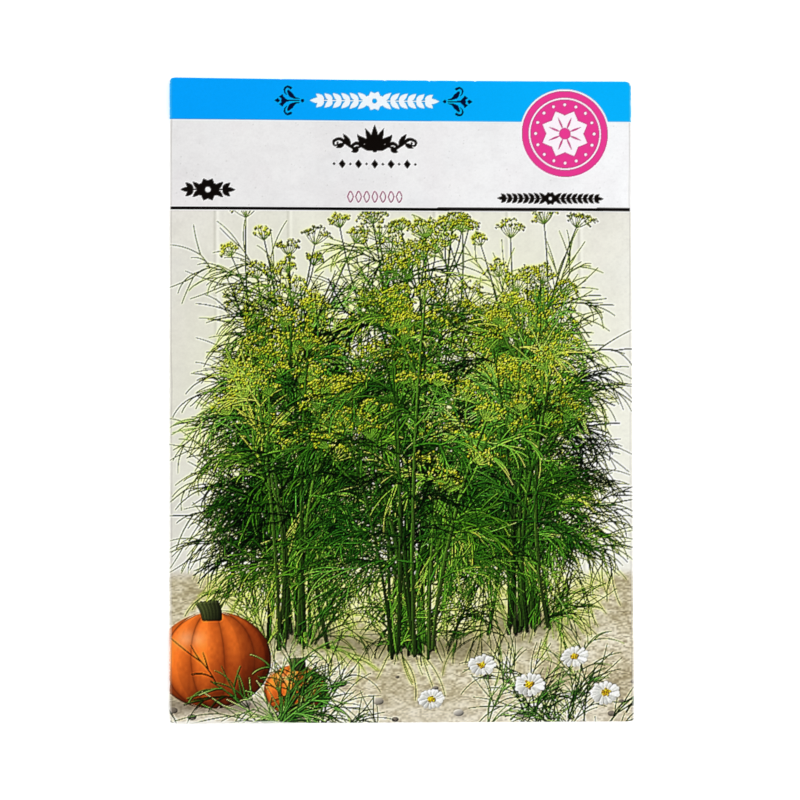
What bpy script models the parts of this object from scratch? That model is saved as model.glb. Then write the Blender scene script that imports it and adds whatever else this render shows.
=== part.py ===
"""A sealed paper seed packet, lying on its back with its seeds inside.

One cut sheet is folded into the packet: a front panel, a back panel on its left fold, a side flap
on its right fold, and a closing flap on its top and bottom folds. Glue holds the back panel to the
side flap, and both closing flaps to the back panel.

Units are metres. X runs across the packet, +Y points to its top edge, and +Z out of its front.
The origin is on the surface that the packet lies on, under the middle of its outline.
"""

import math
import random

import bmesh
import bpy

MM = 0.001

# The packet's outline, and the paper it is folded from
PACKET_WIDTH = 82.55 * MM
PACKET_HEIGHT = 114.3 * MM
PAPER = 0.15 * MM

# What is glued: the dried film, and the space left above and below it
GLUE = 0.08 * MM
GLUE_CLEARANCE = 0.03 * MM
GLUE_GAP = GLUE + 2 * GLUE_CLEARANCE
LAYER = PAPER + GLUE_GAP

# The air left between the side flap and the front, at the packet's edge
FRONT_GAP = 0.11 * MM

# The flaps, measured from their folds
SIDE_FLAP = 10.0 * MM
BOTTOM_FLAP = 13.0 * MM
TOP_FLAP = 16.0 * MM
FLAP_INSET = 0.8 * MM
FLAP_SLANT = 2.2 * MM
FLAP_CORNER = 3.5 * MM
SIDE_FLAP_INSET = 3.0 * MM
SIDE_FLAP_SLANT = 2.5 * MM
BACK_SHORT = 0.8 * MM
BACK_FREE_EDGE = 1.2 * MM

# How the front swells over the seeds and the air shut in with them
PUFF = 0.45 * MM
SWELL = 1.15 * MM
SWELL_MIDDLE = -37.0 * MM
SWELL_REACH = 17.0 * MM

# The stretch over which the sheet comes down past the free edge of a closing flap
RAMP = 5.0 * MM

# One seed: its oval edge, the height of its back and the depth of its belly. Its ridges end at a share
# of its length from its middle, and it is a little narrower at its tip
SEED_LENGTH = 4.0 * MM
SEED_WIDTH = 2.2 * MM
SEED_BACK = 0.5 * MM
SEED_BELLY = 0.25 * MM
SEED_RIDGE = 0.26
SEED_TAPER = 0.14
SEED_SIDES = 6

# The heap of seeds in the pocket: its extent, and the share of its height that it falls to at its sides
SEED_COUNT = 210
SEED_CLEARANCE = 0.06 * MM
HEAP_LEFT = -36.5 * MM
HEAP_RIGHT = 29.0 * MM
HEAP_LOW = -52.5 * MM
HEAP_HIGH = -17.0 * MM
HEAP_FALL = 0.45
HEAP_BEND = 2.4
RANDOM_SEED = 7

# How the seeds lie: how far a lower one runs into the seed that holds it and may touch others, how far
# it may stand off the floor, and the share of seeds on top, with how far out and how high they lie
LEAST_HOLD = 0.5 * MM
MOST_HOLD = 0.75 * MM
MOST_TOUCH = 0.2 * MM
FLOOR_RISE = 0.05 * MM
UPPER_SHARE = 0.16
UPPER_OUT = (0.4, 0.7)
UPPER_RISE = (0.30 * MM, 0.42 * MM)
SEED_ROLL = math.radians(2)
SEED_PITCH = math.radians(1)

# Largest steps of the sheet's mesh, on its panels and round its folds
PANEL_STEP = 3.4 * MM
FOLD_TURNS = 6

HALF_WIDTH = PACKET_WIDTH / 2
HALF_HEIGHT = PACKET_HEIGHT / 2

# The middle of the paper in each layer, where the packet lies flat on its back panel
FLAP_LEVEL = PAPER / 2
BACK_LEVEL = PAPER / 2
SIDE_FLAP_LEVEL = BACK_LEVEL + LAYER
FRONT_LEVEL = SIDE_FLAP_LEVEL + PAPER + FRONT_GAP

# The folds: how far out the middle of the paper reaches, and the radius it turns at
REACH_X = HALF_WIDTH - PAPER / 2
REACH_Y = HALF_HEIGHT - PAPER / 2
LEFT_RADIUS = (FRONT_LEVEL - BACK_LEVEL) / 2
RIGHT_RADIUS = (FRONT_LEVEL - SIDE_FLAP_LEVEL) / 2
END_RADIUS = (FRONT_LEVEL + LAYER - FLAP_LEVEL) / 2


def clear_scene():
    for thing in list(bpy.data.objects):
        bpy.data.objects.remove(thing, do_unlink=True)


def material(name, colour, roughness):
    made = bpy.data.materials.new(name)
    made.use_nodes = True
    shader = made.node_tree.nodes["Principled BSDF"]
    shader.inputs["Base Color"].default_value = (*colour, 1.0)
    shader.inputs["Roughness"].default_value = roughness
    shader.inputs["Metallic"].default_value = 0.0
    return made


def add_object(name, mesh, surface):
    made = bpy.data.objects.new(name, mesh)
    made.data.materials.append(surface)
    bpy.context.scene.collection.objects.link(made)
    return made


def smooth_step(share):
    share = min(max(share, 0.0), 1.0)
    return share * share * (3.0 - 2.0 * share)


def lift(y):
    """How far the closing flaps under the back panel raise the sheet above them."""
    flap = TOP_FLAP if y > 0 else BOTTOM_FLAP
    free_edge = HALF_HEIGHT - flap
    return LAYER * smooth_step((abs(y) - free_edge + RAMP) / RAMP)


def crown(x, y):
    """How far the front stands above its own edges. The powers say how squarely it comes down to them."""
    across = 1.0 - abs(x / HALF_WIDTH) ** 6
    puff = PUFF * (1.0 - abs(y / HALF_HEIGHT) ** 4)
    swell = SWELL * math.exp(-(((y - SWELL_MIDDLE) / SWELL_REACH) ** 2))
    end = 1.0 - abs(y / HALF_HEIGHT) ** 12
    return across * (puff + swell * end)


def round_fold(distance, reach, radius):
    """Follow the sheet outwards from the middle of the front and round one fold.

    Returns how far out that point of the sheet lies and how far it has dropped below the front.
    """
    start = reach - radius
    turn = (distance - start) / radius
    if turn <= 0.0:
        return distance, 0.0
    if turn >= math.pi:
        return start - (distance - start - math.pi * radius), 2.0 * radius
    return start + radius * math.sin(turn), radius * (1.0 - math.cos(turn))


def folded(across, along):
    """Where a point of the flat blank lies once the sheet is folded."""
    side = -1.0 if across < 0 else 1.0
    radius = LEFT_RADIUS if across < 0 else RIGHT_RADIUS
    out_x, drop_x = round_fold(abs(across), REACH_X, radius)
    end = -1.0 if along < 0 else 1.0
    out_y, drop_y = round_fold(abs(along), REACH_Y, END_RADIUS)
    # Where two folds meet, the corner is rounded in plan and sinks no lower than its folds do
    past_x = max((out_x - REACH_X) / radius + 1.0, 0.0)
    past_y = max((out_y - REACH_Y) / END_RADIUS + 1.0, 0.0)
    out_x -= radius * past_x * (1.0 - math.sqrt(1.0 - past_y**2 / 2))
    out_y -= END_RADIUS * past_y * (1.0 - math.sqrt(1.0 - past_x**2 / 2))
    drop = (drop_x**3 + drop_y**3) ** (1 / 3)
    x = side * out_x
    y = end * out_y
    on_front = (1.0 - drop_x / (2.0 * radius)) * (1.0 - drop_y / (2.0 * END_RADIUS))
    z = FRONT_LEVEL + lift(y) + crown(x, y) * on_front - drop
    return x, y, z


def steps(start, stop, largest):
    """Even steps from start up to stop, without stop itself."""
    count = max(1, math.ceil((stop - start) / largest - 1e-9))
    return [start + (stop - start) * k / count for k in range(count)]


def blank_lines(stops):
    """The blank's grid lines: stops are pairs of a place and the largest step after it."""
    lines = []
    for (start, largest), (stop, _) in zip(stops, stops[1:]):
        lines += steps(start, stop, largest)
    return lines + [stops[-1][0]]


def fold_distances(reach, radius):
    """Distances along the sheet to a fold's start, its outermost line and its end."""
    start = reach - radius
    return start, start + math.pi * radius / 2, start + math.pi * radius


def flap_share(distance, edge, length):
    return min(max((distance - edge) / length, 0.0), 1.0)


def closing_flap_scale(distance, edge, length):
    """How much narrower a closing flap is at this distance than at its fold."""
    past = distance - edge
    narrowed = FLAP_SLANT * flap_share(distance, edge, length)
    into_corner = past - (length - FLAP_CORNER)
    if into_corner > 0:
        inside = max(FLAP_CORNER**2 - into_corner**2, 0.0)
        narrowed += FLAP_CORNER - math.sqrt(inside)
    return 1.0 - narrowed / (HALF_WIDTH - FLAP_INSET)


def side_flap_scale(distance, edge):
    narrowed = SIDE_FLAP_SLANT * flap_share(distance, edge, SIDE_FLAP)
    return 1.0 - narrowed / (HALF_HEIGHT - SIDE_FLAP_INSET)


def envelope_sheet():
    """The sheet's middle surface, as a grid over the blank with the corners left out."""
    left_start, left_edge, left_end = fold_distances(REACH_X, LEFT_RADIUS)
    right_start, right_edge, right_end = fold_distances(REACH_X, RIGHT_RADIUS)
    end_start, end_edge, end_end = fold_distances(REACH_Y, END_RADIUS)
    left_turn = math.pi * LEFT_RADIUS / FOLD_TURNS
    right_turn = math.pi * RIGHT_RADIUS / FOLD_TURNS
    end_turn = math.pi * END_RADIUS / FOLD_TURNS
    back_width = left_start + HALF_WIDTH - BACK_FREE_EDGE
    flap_half = HALF_WIDTH - FLAP_INSET
    side_half = HALF_HEIGHT - SIDE_FLAP_INSET
    back_half = HALF_HEIGHT - BACK_SHORT
    top_free = end_end + TOP_FLAP - END_RADIUS
    bottom_free = end_end + BOTTOM_FLAP - END_RADIUS
    corner_step = FLAP_CORNER / 5

    columns = blank_lines(
        [
            (-left_end - back_width, PANEL_STEP),
            (-left_end, left_turn),
            (-left_edge, left_turn),
            (-left_start, PANEL_STEP),
            (-flap_half, PANEL_STEP),
            (flap_half, PANEL_STEP),
            (right_start, right_turn),
            (right_edge, right_turn),
            (right_end, PANEL_STEP),
            (right_end + SIDE_FLAP - RIGHT_RADIUS, PANEL_STEP),
        ]
    )
    rows = blank_lines(
        [
            (-bottom_free, corner_step),
            (-bottom_free + FLAP_CORNER, PANEL_STEP),
            (-end_end, end_turn),
            (-end_edge, end_turn),
            (-end_start, PANEL_STEP),
            (-back_half, PANEL_STEP),
            (-side_half, PANEL_STEP),
            (side_half, PANEL_STEP),
            (back_half, PANEL_STEP),
            (end_start, end_turn),
            (end_edge, end_turn),
            (end_end, PANEL_STEP),
            (top_free - FLAP_CORNER, corner_step),
            (top_free, corner_step),
        ]
    )

    def on_blank(across, along):
        """Whether the blank has paper here: its front, back and side panels and closing flaps."""
        if abs(along) > end_edge:
            return abs(across) < flap_half
        if across < -left_edge:
            return abs(along) < back_half
        if across > right_edge:
            return abs(along) < side_half
        return True

    def narrowed(across, along):
        """Slant and round the ends of the flaps."""
        if along > end_edge:
            across *= closing_flap_scale(along, end_edge, top_free - end_edge)
        elif along < -end_edge:
            across *= closing_flap_scale(-along, end_edge, bottom_free - end_edge)
        elif across > right_edge:
            along *= side_flap_scale(across, right_edge)
        return across, along

    shape = bmesh.new()
    corners = {}

    def corner(i, j):
        if (i, j) not in corners:
            corners[i, j] = shape.verts.new(folded(*narrowed(columns[i], rows[j])))
        return corners[i, j]

    for i in range(len(columns) - 1):
        for j in range(len(rows) - 1):
            middle = ((columns[i] + columns[i + 1]) / 2, (rows[j] + rows[j + 1]) / 2)
            if on_blank(*middle):
                shape.faces.new((corner(i, j), corner(i + 1, j), corner(i + 1, j + 1), corner(i, j + 1)))
    mesh = bpy.data.meshes.new("paper_envelope")
    shape.to_mesh(mesh)
    shape.free()
    return mesh


def paper_envelope():
    paper = material("coated packet paper", (0.80, 0.80, 0.78), 0.42)
    envelope = add_object("paper_envelope", envelope_sheet(), paper)
    envelope.data.shade_smooth()
    thickness = envelope.modifiers.new("paper thickness", "SOLIDIFY")
    thickness.thickness = PAPER
    thickness.offset = 0.0
    envelope.data.set_sharp_from_angle(angle=math.radians(40))
    return envelope


def glue_film(name, low, high, level):
    """A dried film of glue: a thin slab with rounded corners, level being its underside."""
    corner_radius = 2.0 * MM
    corner_steps = 6
    shape = bmesh.new()
    outline = []
    for side_x, side_y, first in ((1, 1, 0), (-1, 1, 90), (-1, -1, 180), (1, -1, 270)):
        centre_x = high[0] - corner_radius if side_x > 0 else low[0] + corner_radius
        centre_y = high[1] - corner_radius if side_y > 0 else low[1] + corner_radius
        for k in range(corner_steps + 1):
            angle = math.radians(first + 90 * k / corner_steps)
            x = centre_x + corner_radius * math.cos(angle)
            y = centre_y + corner_radius * math.sin(angle)
            outline.append(shape.verts.new((x, y, level)))
    base = shape.faces.new(outline)
    raised = bmesh.ops.extrude_face_region(shape, geom=[base])["geom"]
    top = [item for item in raised if isinstance(item, bmesh.types.BMVert)]
    bmesh.ops.translate(shape, vec=(0.0, 0.0, GLUE), verts=top)
    bmesh.ops.recalc_face_normals(shape, faces=shape.faces[:])
    mesh = bpy.data.meshes.new(name)
    shape.to_mesh(mesh)
    shape.free()
    return add_object(name, mesh, bpy.data.materials["dried glue"])


def glue_films():
    """The three glued laps. The side seam's film is kept short of the two closing flaps."""
    material("dried glue", (0.78, 0.72, 0.55), 0.35)
    margin = 2.5 * MM
    seam_low = (HALF_WIDTH - SIDE_FLAP + margin, -HALF_HEIGHT + BOTTOM_FLAP + RAMP)
    seam_high = (HALF_WIDTH - BACK_FREE_EDGE - margin / 2, HALF_HEIGHT - TOP_FLAP - RAMP)
    glue_film("side_seam_glue", seam_low, seam_high, PAPER + GLUE_CLEARANCE)
    flap_half = HALF_WIDTH - FLAP_INSET - FLAP_SLANT - 2 * margin
    bottom_low = (-flap_half, -HALF_HEIGHT + margin)
    bottom_high = (flap_half, -HALF_HEIGHT + BOTTOM_FLAP - margin)
    glue_film("bottom_flap_glue", bottom_low, bottom_high, PAPER + GLUE_CLEARANCE)
    top_low = (-flap_half, HALF_HEIGHT - TOP_FLAP + margin)
    top_high = (flap_half, HALF_HEIGHT - margin)
    glue_film("top_flap_glue", top_low, top_high, PAPER + GLUE_CLEARANCE)


def seed_outline(angle):
    """A seed's plan: an oval, a little narrower at its tip."""
    x = SEED_LENGTH / 2 * math.cos(angle)
    taper = 1.0 - SEED_TAPER * math.cos(angle)
    return x, SEED_WIDTH / 2 * math.sin(angle) * taper


def seed_mesh():
    """One seed: an oval edge, with a ridge along its back and a flatter one along its belly."""
    shape = bmesh.new()
    turns = [2 * math.pi * (k + 0.5) / SEED_SIDES for k in range(SEED_SIDES)]
    rim = [shape.verts.new((*seed_outline(turn), 0.0)) for turn in turns]
    ridge_end = SEED_RIDGE * SEED_LENGTH
    for height in (SEED_BACK, -SEED_BELLY):
        ends = [shape.verts.new((x, 0.0, height)) for x in (ridge_end, -ridge_end)]
        for k in range(SEED_SIDES):
            near, far = rim[k], rim[(k + 1) % SEED_SIDES]
            first = ends[0] if near.co.x > 0 else ends[1]
            second = ends[0] if far.co.x > 0 else ends[1]
            shape.faces.new((near, far, first))
            if first is not second:
                shape.faces.new((far, second, first))
    bmesh.ops.recalc_face_normals(shape, faces=shape.faces[:])
    mesh = bpy.data.meshes.new("seed")
    shape.to_mesh(mesh)
    shape.free()
    return mesh


def seed_radius(heading, direction):
    """Half a seed's extent from its middle towards a direction, for a seed that points to heading."""
    turn = direction - heading
    across = math.cos(turn) / (SEED_LENGTH / 2)
    along = math.sin(turn) / (SEED_WIDTH / 2)
    return 1.0 / math.hypot(across, along)


def pocket_floor(y):
    """The lowest that a seed's belly may lie: on the back panel."""
    return BACK_LEVEL + PAPER / 2 + lift(y) + SEED_CLEARANCE


def pocket_roof(x, y):
    """The highest that a seed's back may reach: under the front panel."""
    return FRONT_LEVEL - PAPER / 2 + lift(y) + crown(x, y) - SEED_CLEARANCE


def seed_fits(x, y, z, heading):
    """Whether the pocket leaves room for a seed here, tested along its ridge and round its rim."""
    back = ((0.0, SEED_BACK), (SEED_RIDGE, SEED_BACK), (-SEED_RIDGE, SEED_BACK))
    rim = ((0.5, 0.0), (-0.5, 0.0))
    for share, height in back + rim:
        at_x = x + share * SEED_LENGTH * math.cos(heading)
        at_y = y + share * SEED_LENGTH * math.sin(heading)
        if z + height > pocket_roof(at_x, at_y):
            return False
    return True


def heap_density(x, y):
    """How likely a seed is to lie here: dense along the heap's lower side and thin at its top."""
    if not HEAP_LEFT < x < HEAP_RIGHT or y < HEAP_LOW:
        return 0.0
    middle = (HEAP_LEFT + HEAP_RIGHT) / 2
    half = (HEAP_RIGHT - HEAP_LEFT) / 2
    fallen = HEAP_FALL * abs((x - middle) / half) ** HEAP_BEND
    top = HEAP_LOW + (HEAP_HIGH - HEAP_LOW) * (1.0 - fallen)
    return max(1.0 - ((y - HEAP_LOW) / (top - HEAP_LOW)) ** 2, 0.0)


def overlap(first, second):
    """How far two seeds' plans run into each other along the line between their middles."""
    step_x = second[0] - first[0]
    step_y = second[1] - first[1]
    direction = math.atan2(step_y, step_x)
    reach = seed_radius(first[3], direction) + seed_radius(second[3], direction)
    return reach - math.hypot(step_x, step_y)


def seed_places():
    """Grow the heap seed by seed: each holds to one already there, and the last lie on top of others."""
    draw = random.Random(RANDOM_SEED)
    start_x = (HEAP_LEFT + HEAP_RIGHT) / 2
    start_y = HEAP_LOW + 8 * MM
    lower = [(start_x, start_y, pocket_floor(start_y) + SEED_BELLY, 0.3)]
    wanted_below = round(SEED_COUNT * (1.0 - UPPER_SHARE))
    while len(lower) < wanted_below:
        parent = draw.choice(lower)
        direction = draw.uniform(0.0, 2 * math.pi)
        heading = draw.uniform(0.0, 2 * math.pi)
        hold = draw.uniform(LEAST_HOLD, MOST_HOLD)
        away = seed_radius(parent[3], direction) + seed_radius(heading, direction) - hold
        x = parent[0] + away * math.cos(direction)
        y = parent[1] + away * math.sin(direction)
        z = pocket_floor(y) + SEED_BELLY + draw.uniform(0.0, FLOOR_RISE)
        candidate = (x, y, z, heading)
        if draw.random() > heap_density(x, y) or not seed_fits(*candidate):
            continue
        if all(other is parent or overlap(candidate, other) < MOST_TOUCH for other in lower):
            lower.append(candidate)
    upper = []
    while len(upper) < SEED_COUNT - wanted_below:
        parent = draw.choice(lower)
        heading = draw.uniform(0.0, 2 * math.pi)
        direction = draw.uniform(0.0, 2 * math.pi)
        away = draw.uniform(*UPPER_OUT) * seed_radius(parent[3], direction)
        x = parent[0] + away * math.cos(direction)
        y = parent[1] + away * math.sin(direction)
        z = pocket_floor(y) + SEED_BELLY + draw.uniform(*UPPER_RISE)
        candidate = (x, y, z, heading)
        if seed_fits(*candidate) and all(overlap(candidate, other) < 0.0 for other in upper):
            upper.append(candidate)
    return lower + upper


def seed_heap():
    """Every seed in the pocket, fused where they touch."""
    husk = material("seed husk", (0.34, 0.22, 0.11), 0.7)
    mesh = seed_mesh()
    others = bpy.data.collections.new("seeds to fuse")
    bpy.context.scene.collection.children.link(others)
    draw = random.Random(RANDOM_SEED + 1)
    heap = None
    for x, y, z, heading in seed_places():
        seed = bpy.data.objects.new("seed", mesh.copy())
        seed.location = (x, y, z)
        roll = draw.uniform(-SEED_ROLL, SEED_ROLL)
        pitch = draw.uniform(-SEED_PITCH, SEED_PITCH)
        seed.rotation_euler = (roll, pitch, heading)
        if heap is None:
            heap = seed
            bpy.context.scene.collection.objects.link(seed)
        else:
            others.objects.link(seed)
    union = heap.modifiers.new("fuse", "BOOLEAN")
    union.operation = "UNION"
    union.operand_type = "COLLECTION"
    union.collection = others
    bpy.context.view_layer.update()
    graph = bpy.context.evaluated_depsgraph_get()
    fused = bpy.data.meshes.new_from_object(heap.evaluated_get(graph))
    place = heap.matrix_world.copy()
    for seed in [heap, *others.objects]:
        bpy.data.objects.remove(seed, do_unlink=True)
    bpy.data.collections.remove(others)
    fused.transform(place)
    fused.materials.clear()
    fused.name = "seed_heap"
    return add_object("seed_heap", fused, husk)


def build():
    clear_scene()
    paper_envelope()
    glue_films()
    seed_heap()


build()
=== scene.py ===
import math
import random

import bmesh
import bpy
import numpy as np
from mathutils import Euler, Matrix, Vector


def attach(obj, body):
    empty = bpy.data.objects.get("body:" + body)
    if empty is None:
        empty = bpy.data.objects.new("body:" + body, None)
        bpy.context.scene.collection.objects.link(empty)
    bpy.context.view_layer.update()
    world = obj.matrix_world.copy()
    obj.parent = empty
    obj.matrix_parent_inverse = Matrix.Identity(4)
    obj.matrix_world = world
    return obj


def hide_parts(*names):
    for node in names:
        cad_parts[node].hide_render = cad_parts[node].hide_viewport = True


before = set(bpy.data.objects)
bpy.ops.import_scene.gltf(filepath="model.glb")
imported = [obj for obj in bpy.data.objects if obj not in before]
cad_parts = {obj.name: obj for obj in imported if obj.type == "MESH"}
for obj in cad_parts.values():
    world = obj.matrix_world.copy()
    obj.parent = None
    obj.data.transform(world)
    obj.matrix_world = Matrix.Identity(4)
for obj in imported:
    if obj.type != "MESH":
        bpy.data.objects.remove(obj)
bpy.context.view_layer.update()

MM = 0.001

# The packet's sizes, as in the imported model: X across, +Y to its top edge, +Z out of its front
PACKET_WIDTH = 82.55 * MM
PACKET_HEIGHT = 114.3 * MM
PAPER = 0.15 * MM
GLUE_GAP = 0.14 * MM
LAYER = PAPER + GLUE_GAP
FRONT_GAP = 0.11 * MM
SIDE_FLAP = 10.0 * MM
BOTTOM_FLAP = 13.0 * MM
TOP_FLAP = 16.0 * MM
FLAP_INSET = 0.8 * MM
FLAP_SLANT = 2.2 * MM
FLAP_CORNER = 3.5 * MM
SIDE_FLAP_INSET = 3.0 * MM
SIDE_FLAP_SLANT = 2.5 * MM
BACK_SHORT = 0.8 * MM
BACK_FREE_EDGE = 1.2 * MM
PUFF = 0.45 * MM
SWELL = 1.15 * MM
SWELL_MIDDLE = -37.0 * MM
SWELL_REACH = 17.0 * MM
RAMP = 5.0 * MM
HALF_WIDTH = PACKET_WIDTH / 2
HALF_HEIGHT = PACKET_HEIGHT / 2
BACK_LEVEL = PAPER / 2
SIDE_FLAP_LEVEL = BACK_LEVEL + LAYER
FRONT_LEVEL = SIDE_FLAP_LEVEL + PAPER + FRONT_GAP
REACH_X = HALF_WIDTH - PAPER / 2
REACH_Y = HALF_HEIGHT - PAPER / 2
LEFT_RADIUS = (FRONT_LEVEL - BACK_LEVEL) / 2
RIGHT_RADIUS = (FRONT_LEVEL - SIDE_FLAP_LEVEL) / 2
END_RADIUS = (FRONT_LEVEL + LAYER - BACK_LEVEL) / 2

# The print is laid out in millimetres from the middle of the front. It is painted in this many dots per
# millimetre, what is out of focus in fewer, and runs on past the folds
DOTS = 15
FAR_DOTS = 5
BLEED = 3.6
SIDE_FOLD = HALF_WIDTH / MM
END_FOLD = HALF_HEIGHT / MM
CANVAS_X = SIDE_FOLD + BLEED
CANVAS_Y = END_FOLD + BLEED

# The header: the blue band and the pale hairline under it, the black rule, and where its marks stand
BAND_FOOT = 49.71
HAIRLINE = 0.2
RULE_TOP = 34.24
RULE_FOOT = 33.70
HEADER_MIDDLE = -4.85
BAND_MIDDLE = 53.3
MARK_STEP = 1.45

# The picture: the middle, foot, spread and height of each herb, the middle, half width, half height,
# lobes and lean of each gourd, and the middle and size of each daisy
HERBS = ((-20.8, -42.0, 9.3, 72.0), (21.2, -40.0, 8.1, 67.0), (1.0, -44.0, 14.5, 79.0))
GOURDS = ((-33.5, -46.0, 10.5, 8.6, 11, 0.05), (-19.0, -51.5, 5.8, 4.7, 9, -0.1))
DAISIES = ((14.0, -47.0, 2.7), (22.5, -50.5, 3.1), (30.5, -45.5, 2.7), (36.0, -52.0, 3.0), (5.0, -53.0, 2.6))
STONES = 60
SPROUTS = 30
PICTURE_SEED = 41
SPECKS = 240
SPECK_SEED = 5

# How the brush works: marks painted at a time, and the least turn of a stroke, which keeps it from
# dividing by nothing
BATCH = 200000
LEAST_BEND = 0.12

# The red, green and blue that the wall loses beside a leaf and in the gaps between leaves
GLAZE = np.array((0.06, 0.01, 0.19), dtype=np.float32)
GLAZE_REACH = 0.06
GAP_TINT = np.array((0.04, 0.0, 0.28), dtype=np.float32)

# How far the print is sharpened, first as a picture and then by its press plates, the share of its value
# that this leaves to the darkest thread, and how much light the ink takes away everywhere
PICTURE_CRISPNESS = 0.9
PICTURE_REACH = 0.2
CRISPNESS = 1.3
LEAST_VALUE = 0.34
INK_DEPTH = 0.006


def smooth(share):
    """An even rise from 0 to 1 that starts and ends gently."""
    share = np.clip(share, 0.0, 1.0)
    return share * share * (3.0 - 2.0 * share)


def tone(red, green, blue):
    """A colour given as it looks in print, from 0 to 255."""
    return np.array((red, green, blue), dtype=np.float32) / 255.0


BARE_PAPER = tone(243, 243, 240)
BAND_BLUE = tone(0, 161, 255)


class Canvas:
    """The printed side of the sheet, painted in fine dots before it is laid on the paper."""

    def __init__(self, dots):
        self.dots = dots
        self.wide = round(2 * CANVAS_X * dots)
        self.high = round(2 * CANVAS_Y * dots)
        self.ink = np.ones((self.high, self.wide, 3), dtype=np.float32)
        self.x = ((np.arange(self.wide) + 0.5) / dots - CANVAS_X).astype(np.float32)
        self.y = ((np.arange(self.high) + 0.5) / dots - CANVAS_Y).astype(np.float32)

    def places(self):
        """How far across and along each dot of the canvas lies."""
        return np.meshgrid(self.x, self.y)

    def wash(self, cover, colour):
        """Lay a colour over the canvas, as strongly as cover says at each dot."""
        self.ink += cover[..., None] * (colour - self.ink)

    def corner(self, x, y, reach):
        """The first column and row of the part of the canvas round a place."""
        first_i = int((x - reach + CANVAS_X) * self.dots)
        first_j = int((y - reach + CANVAS_Y) * self.dots)
        return max(first_i, 0), max(first_j, 0)

    def window(self, x, y, reach):
        """The part of the canvas round a place, with the places of its dots."""
        first_i, first_j = self.corner(x, y, reach)
        last_i = min(int((x + reach + CANVAS_X) * self.dots) + 1, self.wide)
        last_j = min(int((y + reach + CANVAS_Y) * self.dots) + 1, self.high)
        part = self.ink[first_j:last_j, first_i:last_i]
        across, along = np.meshgrid(self.x[first_i:last_i] - x, self.y[first_j:last_j] - y)
        return part, across, along

    def sharpen(self, reach, strength):
        """Strengthen fine contrast, as a printed photograph has it."""
        half = max(round(reach * self.dots), 1)
        self.ink = np.clip(sharper(self.ink, half, 2, strength, 0.0), 0.0, 1.0)

    def copy_from(self, coarse):
        """Take over what a coarser canvas shows."""
        columns = np.clip((self.x + CANVAS_X) * coarse.dots - 0.5, 0.0, coarse.wide - 1.001)
        rows = np.clip((self.y + CANVAS_Y) * coarse.dots - 0.5, 0.0, coarse.high - 1.001)
        self.ink = between(between(coarse.ink, rows, 0), columns, 1)

    def marks(self, x, y, radius):
        """The dots that round marks cover, a batch of marks at a time, with the slope of each."""
        across = ((x + CANVAS_X) * self.dots).astype(np.float32)
        along = ((y + CANVAS_Y) * self.dots).astype(np.float32)
        size = np.maximum(radius * self.dots, 0.56).astype(np.float32)
        for first in range(0, len(across), BATCH):
            part = slice(first, first + BATCH)
            off_i, off_j = disc_steps(math.ceil(float(size[part].max())))
            middle_i = np.floor(across[part]).astype(np.int32)
            middle_j = np.floor(along[part]).astype(np.int32)
            aside = (middle_i + 0.5 - across[part])[:, None] + off_i
            above = (middle_j + 0.5 - along[part])[:, None] + off_j
            mark, step = np.nonzero(aside**2 + above**2 <= (size[part] ** 2)[:, None])
            i = middle_i[mark] + off_i[step].astype(np.int32)
            j = middle_j[mark] + off_j[step].astype(np.int32)
            inside = (i >= 0) & (i < self.wide) & (j >= 0) & (j < self.high)
            slope = (off_j[step] - off_i[step]) / (2.0 * np.maximum(size[part][mark], 1.0))
            yield (j * self.wide + i)[inside], mark[inside] + first, slope[inside]

    def stamp(self, x, y, radius, colour, relief):
        """Press round marks onto the canvas in turn. Relief lights their upper left sides."""
        flat = self.ink.reshape(-1, 3)
        for dots, mark, slope in self.marks(x, y, radius):
            flat[dots] = np.clip(colour[mark] * (1.0 + relief * slope)[:, None], 0.0, 1.0)

    def shade(self, x, y, radius, strength):
        """Darken what lies under round marks, but not the pale wall, which is far behind."""
        flat = self.ink.reshape(-1, 3)
        for dots, _, _ in self.marks(x, y, radius):
            below = flat[dots]
            pale = smooth((below.mean(axis=1) - 0.42) / 0.25)
            flat[dots] = below * (1.0 - strength * (1.0 - pale))[:, None]

    def glaze(self, x, y, radius):
        """Tint the pale wall close beside the leaves, where the light is theirs."""
        flat = self.ink.reshape(-1, 3)
        for dots, _, _ in self.marks(x, y, radius):
            below = flat[dots]
            pale = smooth((below.mean(axis=1) - 0.5) / 0.25)
            flat[dots] = below * (1.0 - pale[:, None] * GLAZE)


def disc_steps(reach):
    """The steps from a dot to those round it that a mark of this radius can cover."""
    steps = np.arange(-reach, reach + 1, dtype=np.float32)
    off_i, off_j = (grid.ravel() for grid in np.meshgrid(steps, steps))
    near = np.hypot(off_i, off_j) <= reach + 0.5
    return off_i[near], off_j[near]


def between(values, places, axis):
    """Values read in between rows or columns."""
    low = np.floor(places).astype(int)
    shape = [1, 1, 1]
    shape[axis] = -1
    part = (places - low).astype(np.float32).reshape(shape)
    return np.take(values, low, axis=axis) * (1.0 - part) + np.take(values, low + 1, axis=axis) * part


def running_mean(values, half, axis):
    """The mean over a stretch of dots round each one."""
    pad = [(0, 0)] * values.ndim
    pad[axis] = (half + 1, half)
    total = np.cumsum(np.pad(values, pad, mode="edge"), axis=axis, dtype=np.float64)
    stretch = 2 * half + 1
    size = values.shape[axis]
    ahead = np.take(total, np.arange(stretch, stretch + size), axis=axis)
    behind = np.take(total, np.arange(0, size), axis=axis)
    return ((ahead - behind) / stretch).astype(np.float32)


def sharper(colours, half, passes, strength, depth):
    """Colours with their fine contrast of light and dark strengthened, and their hues kept."""
    value = colours.mean(axis=-1, keepdims=True)
    soft = value
    for axis in (0, 1):
        for _ in range(passes):
            soft = running_mean(soft, half, axis)
    wanted = value + strength * (value - soft) - depth
    return colours * np.clip(wanted / np.maximum(value, 0.002), LEAST_VALUE, 2.0)


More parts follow.
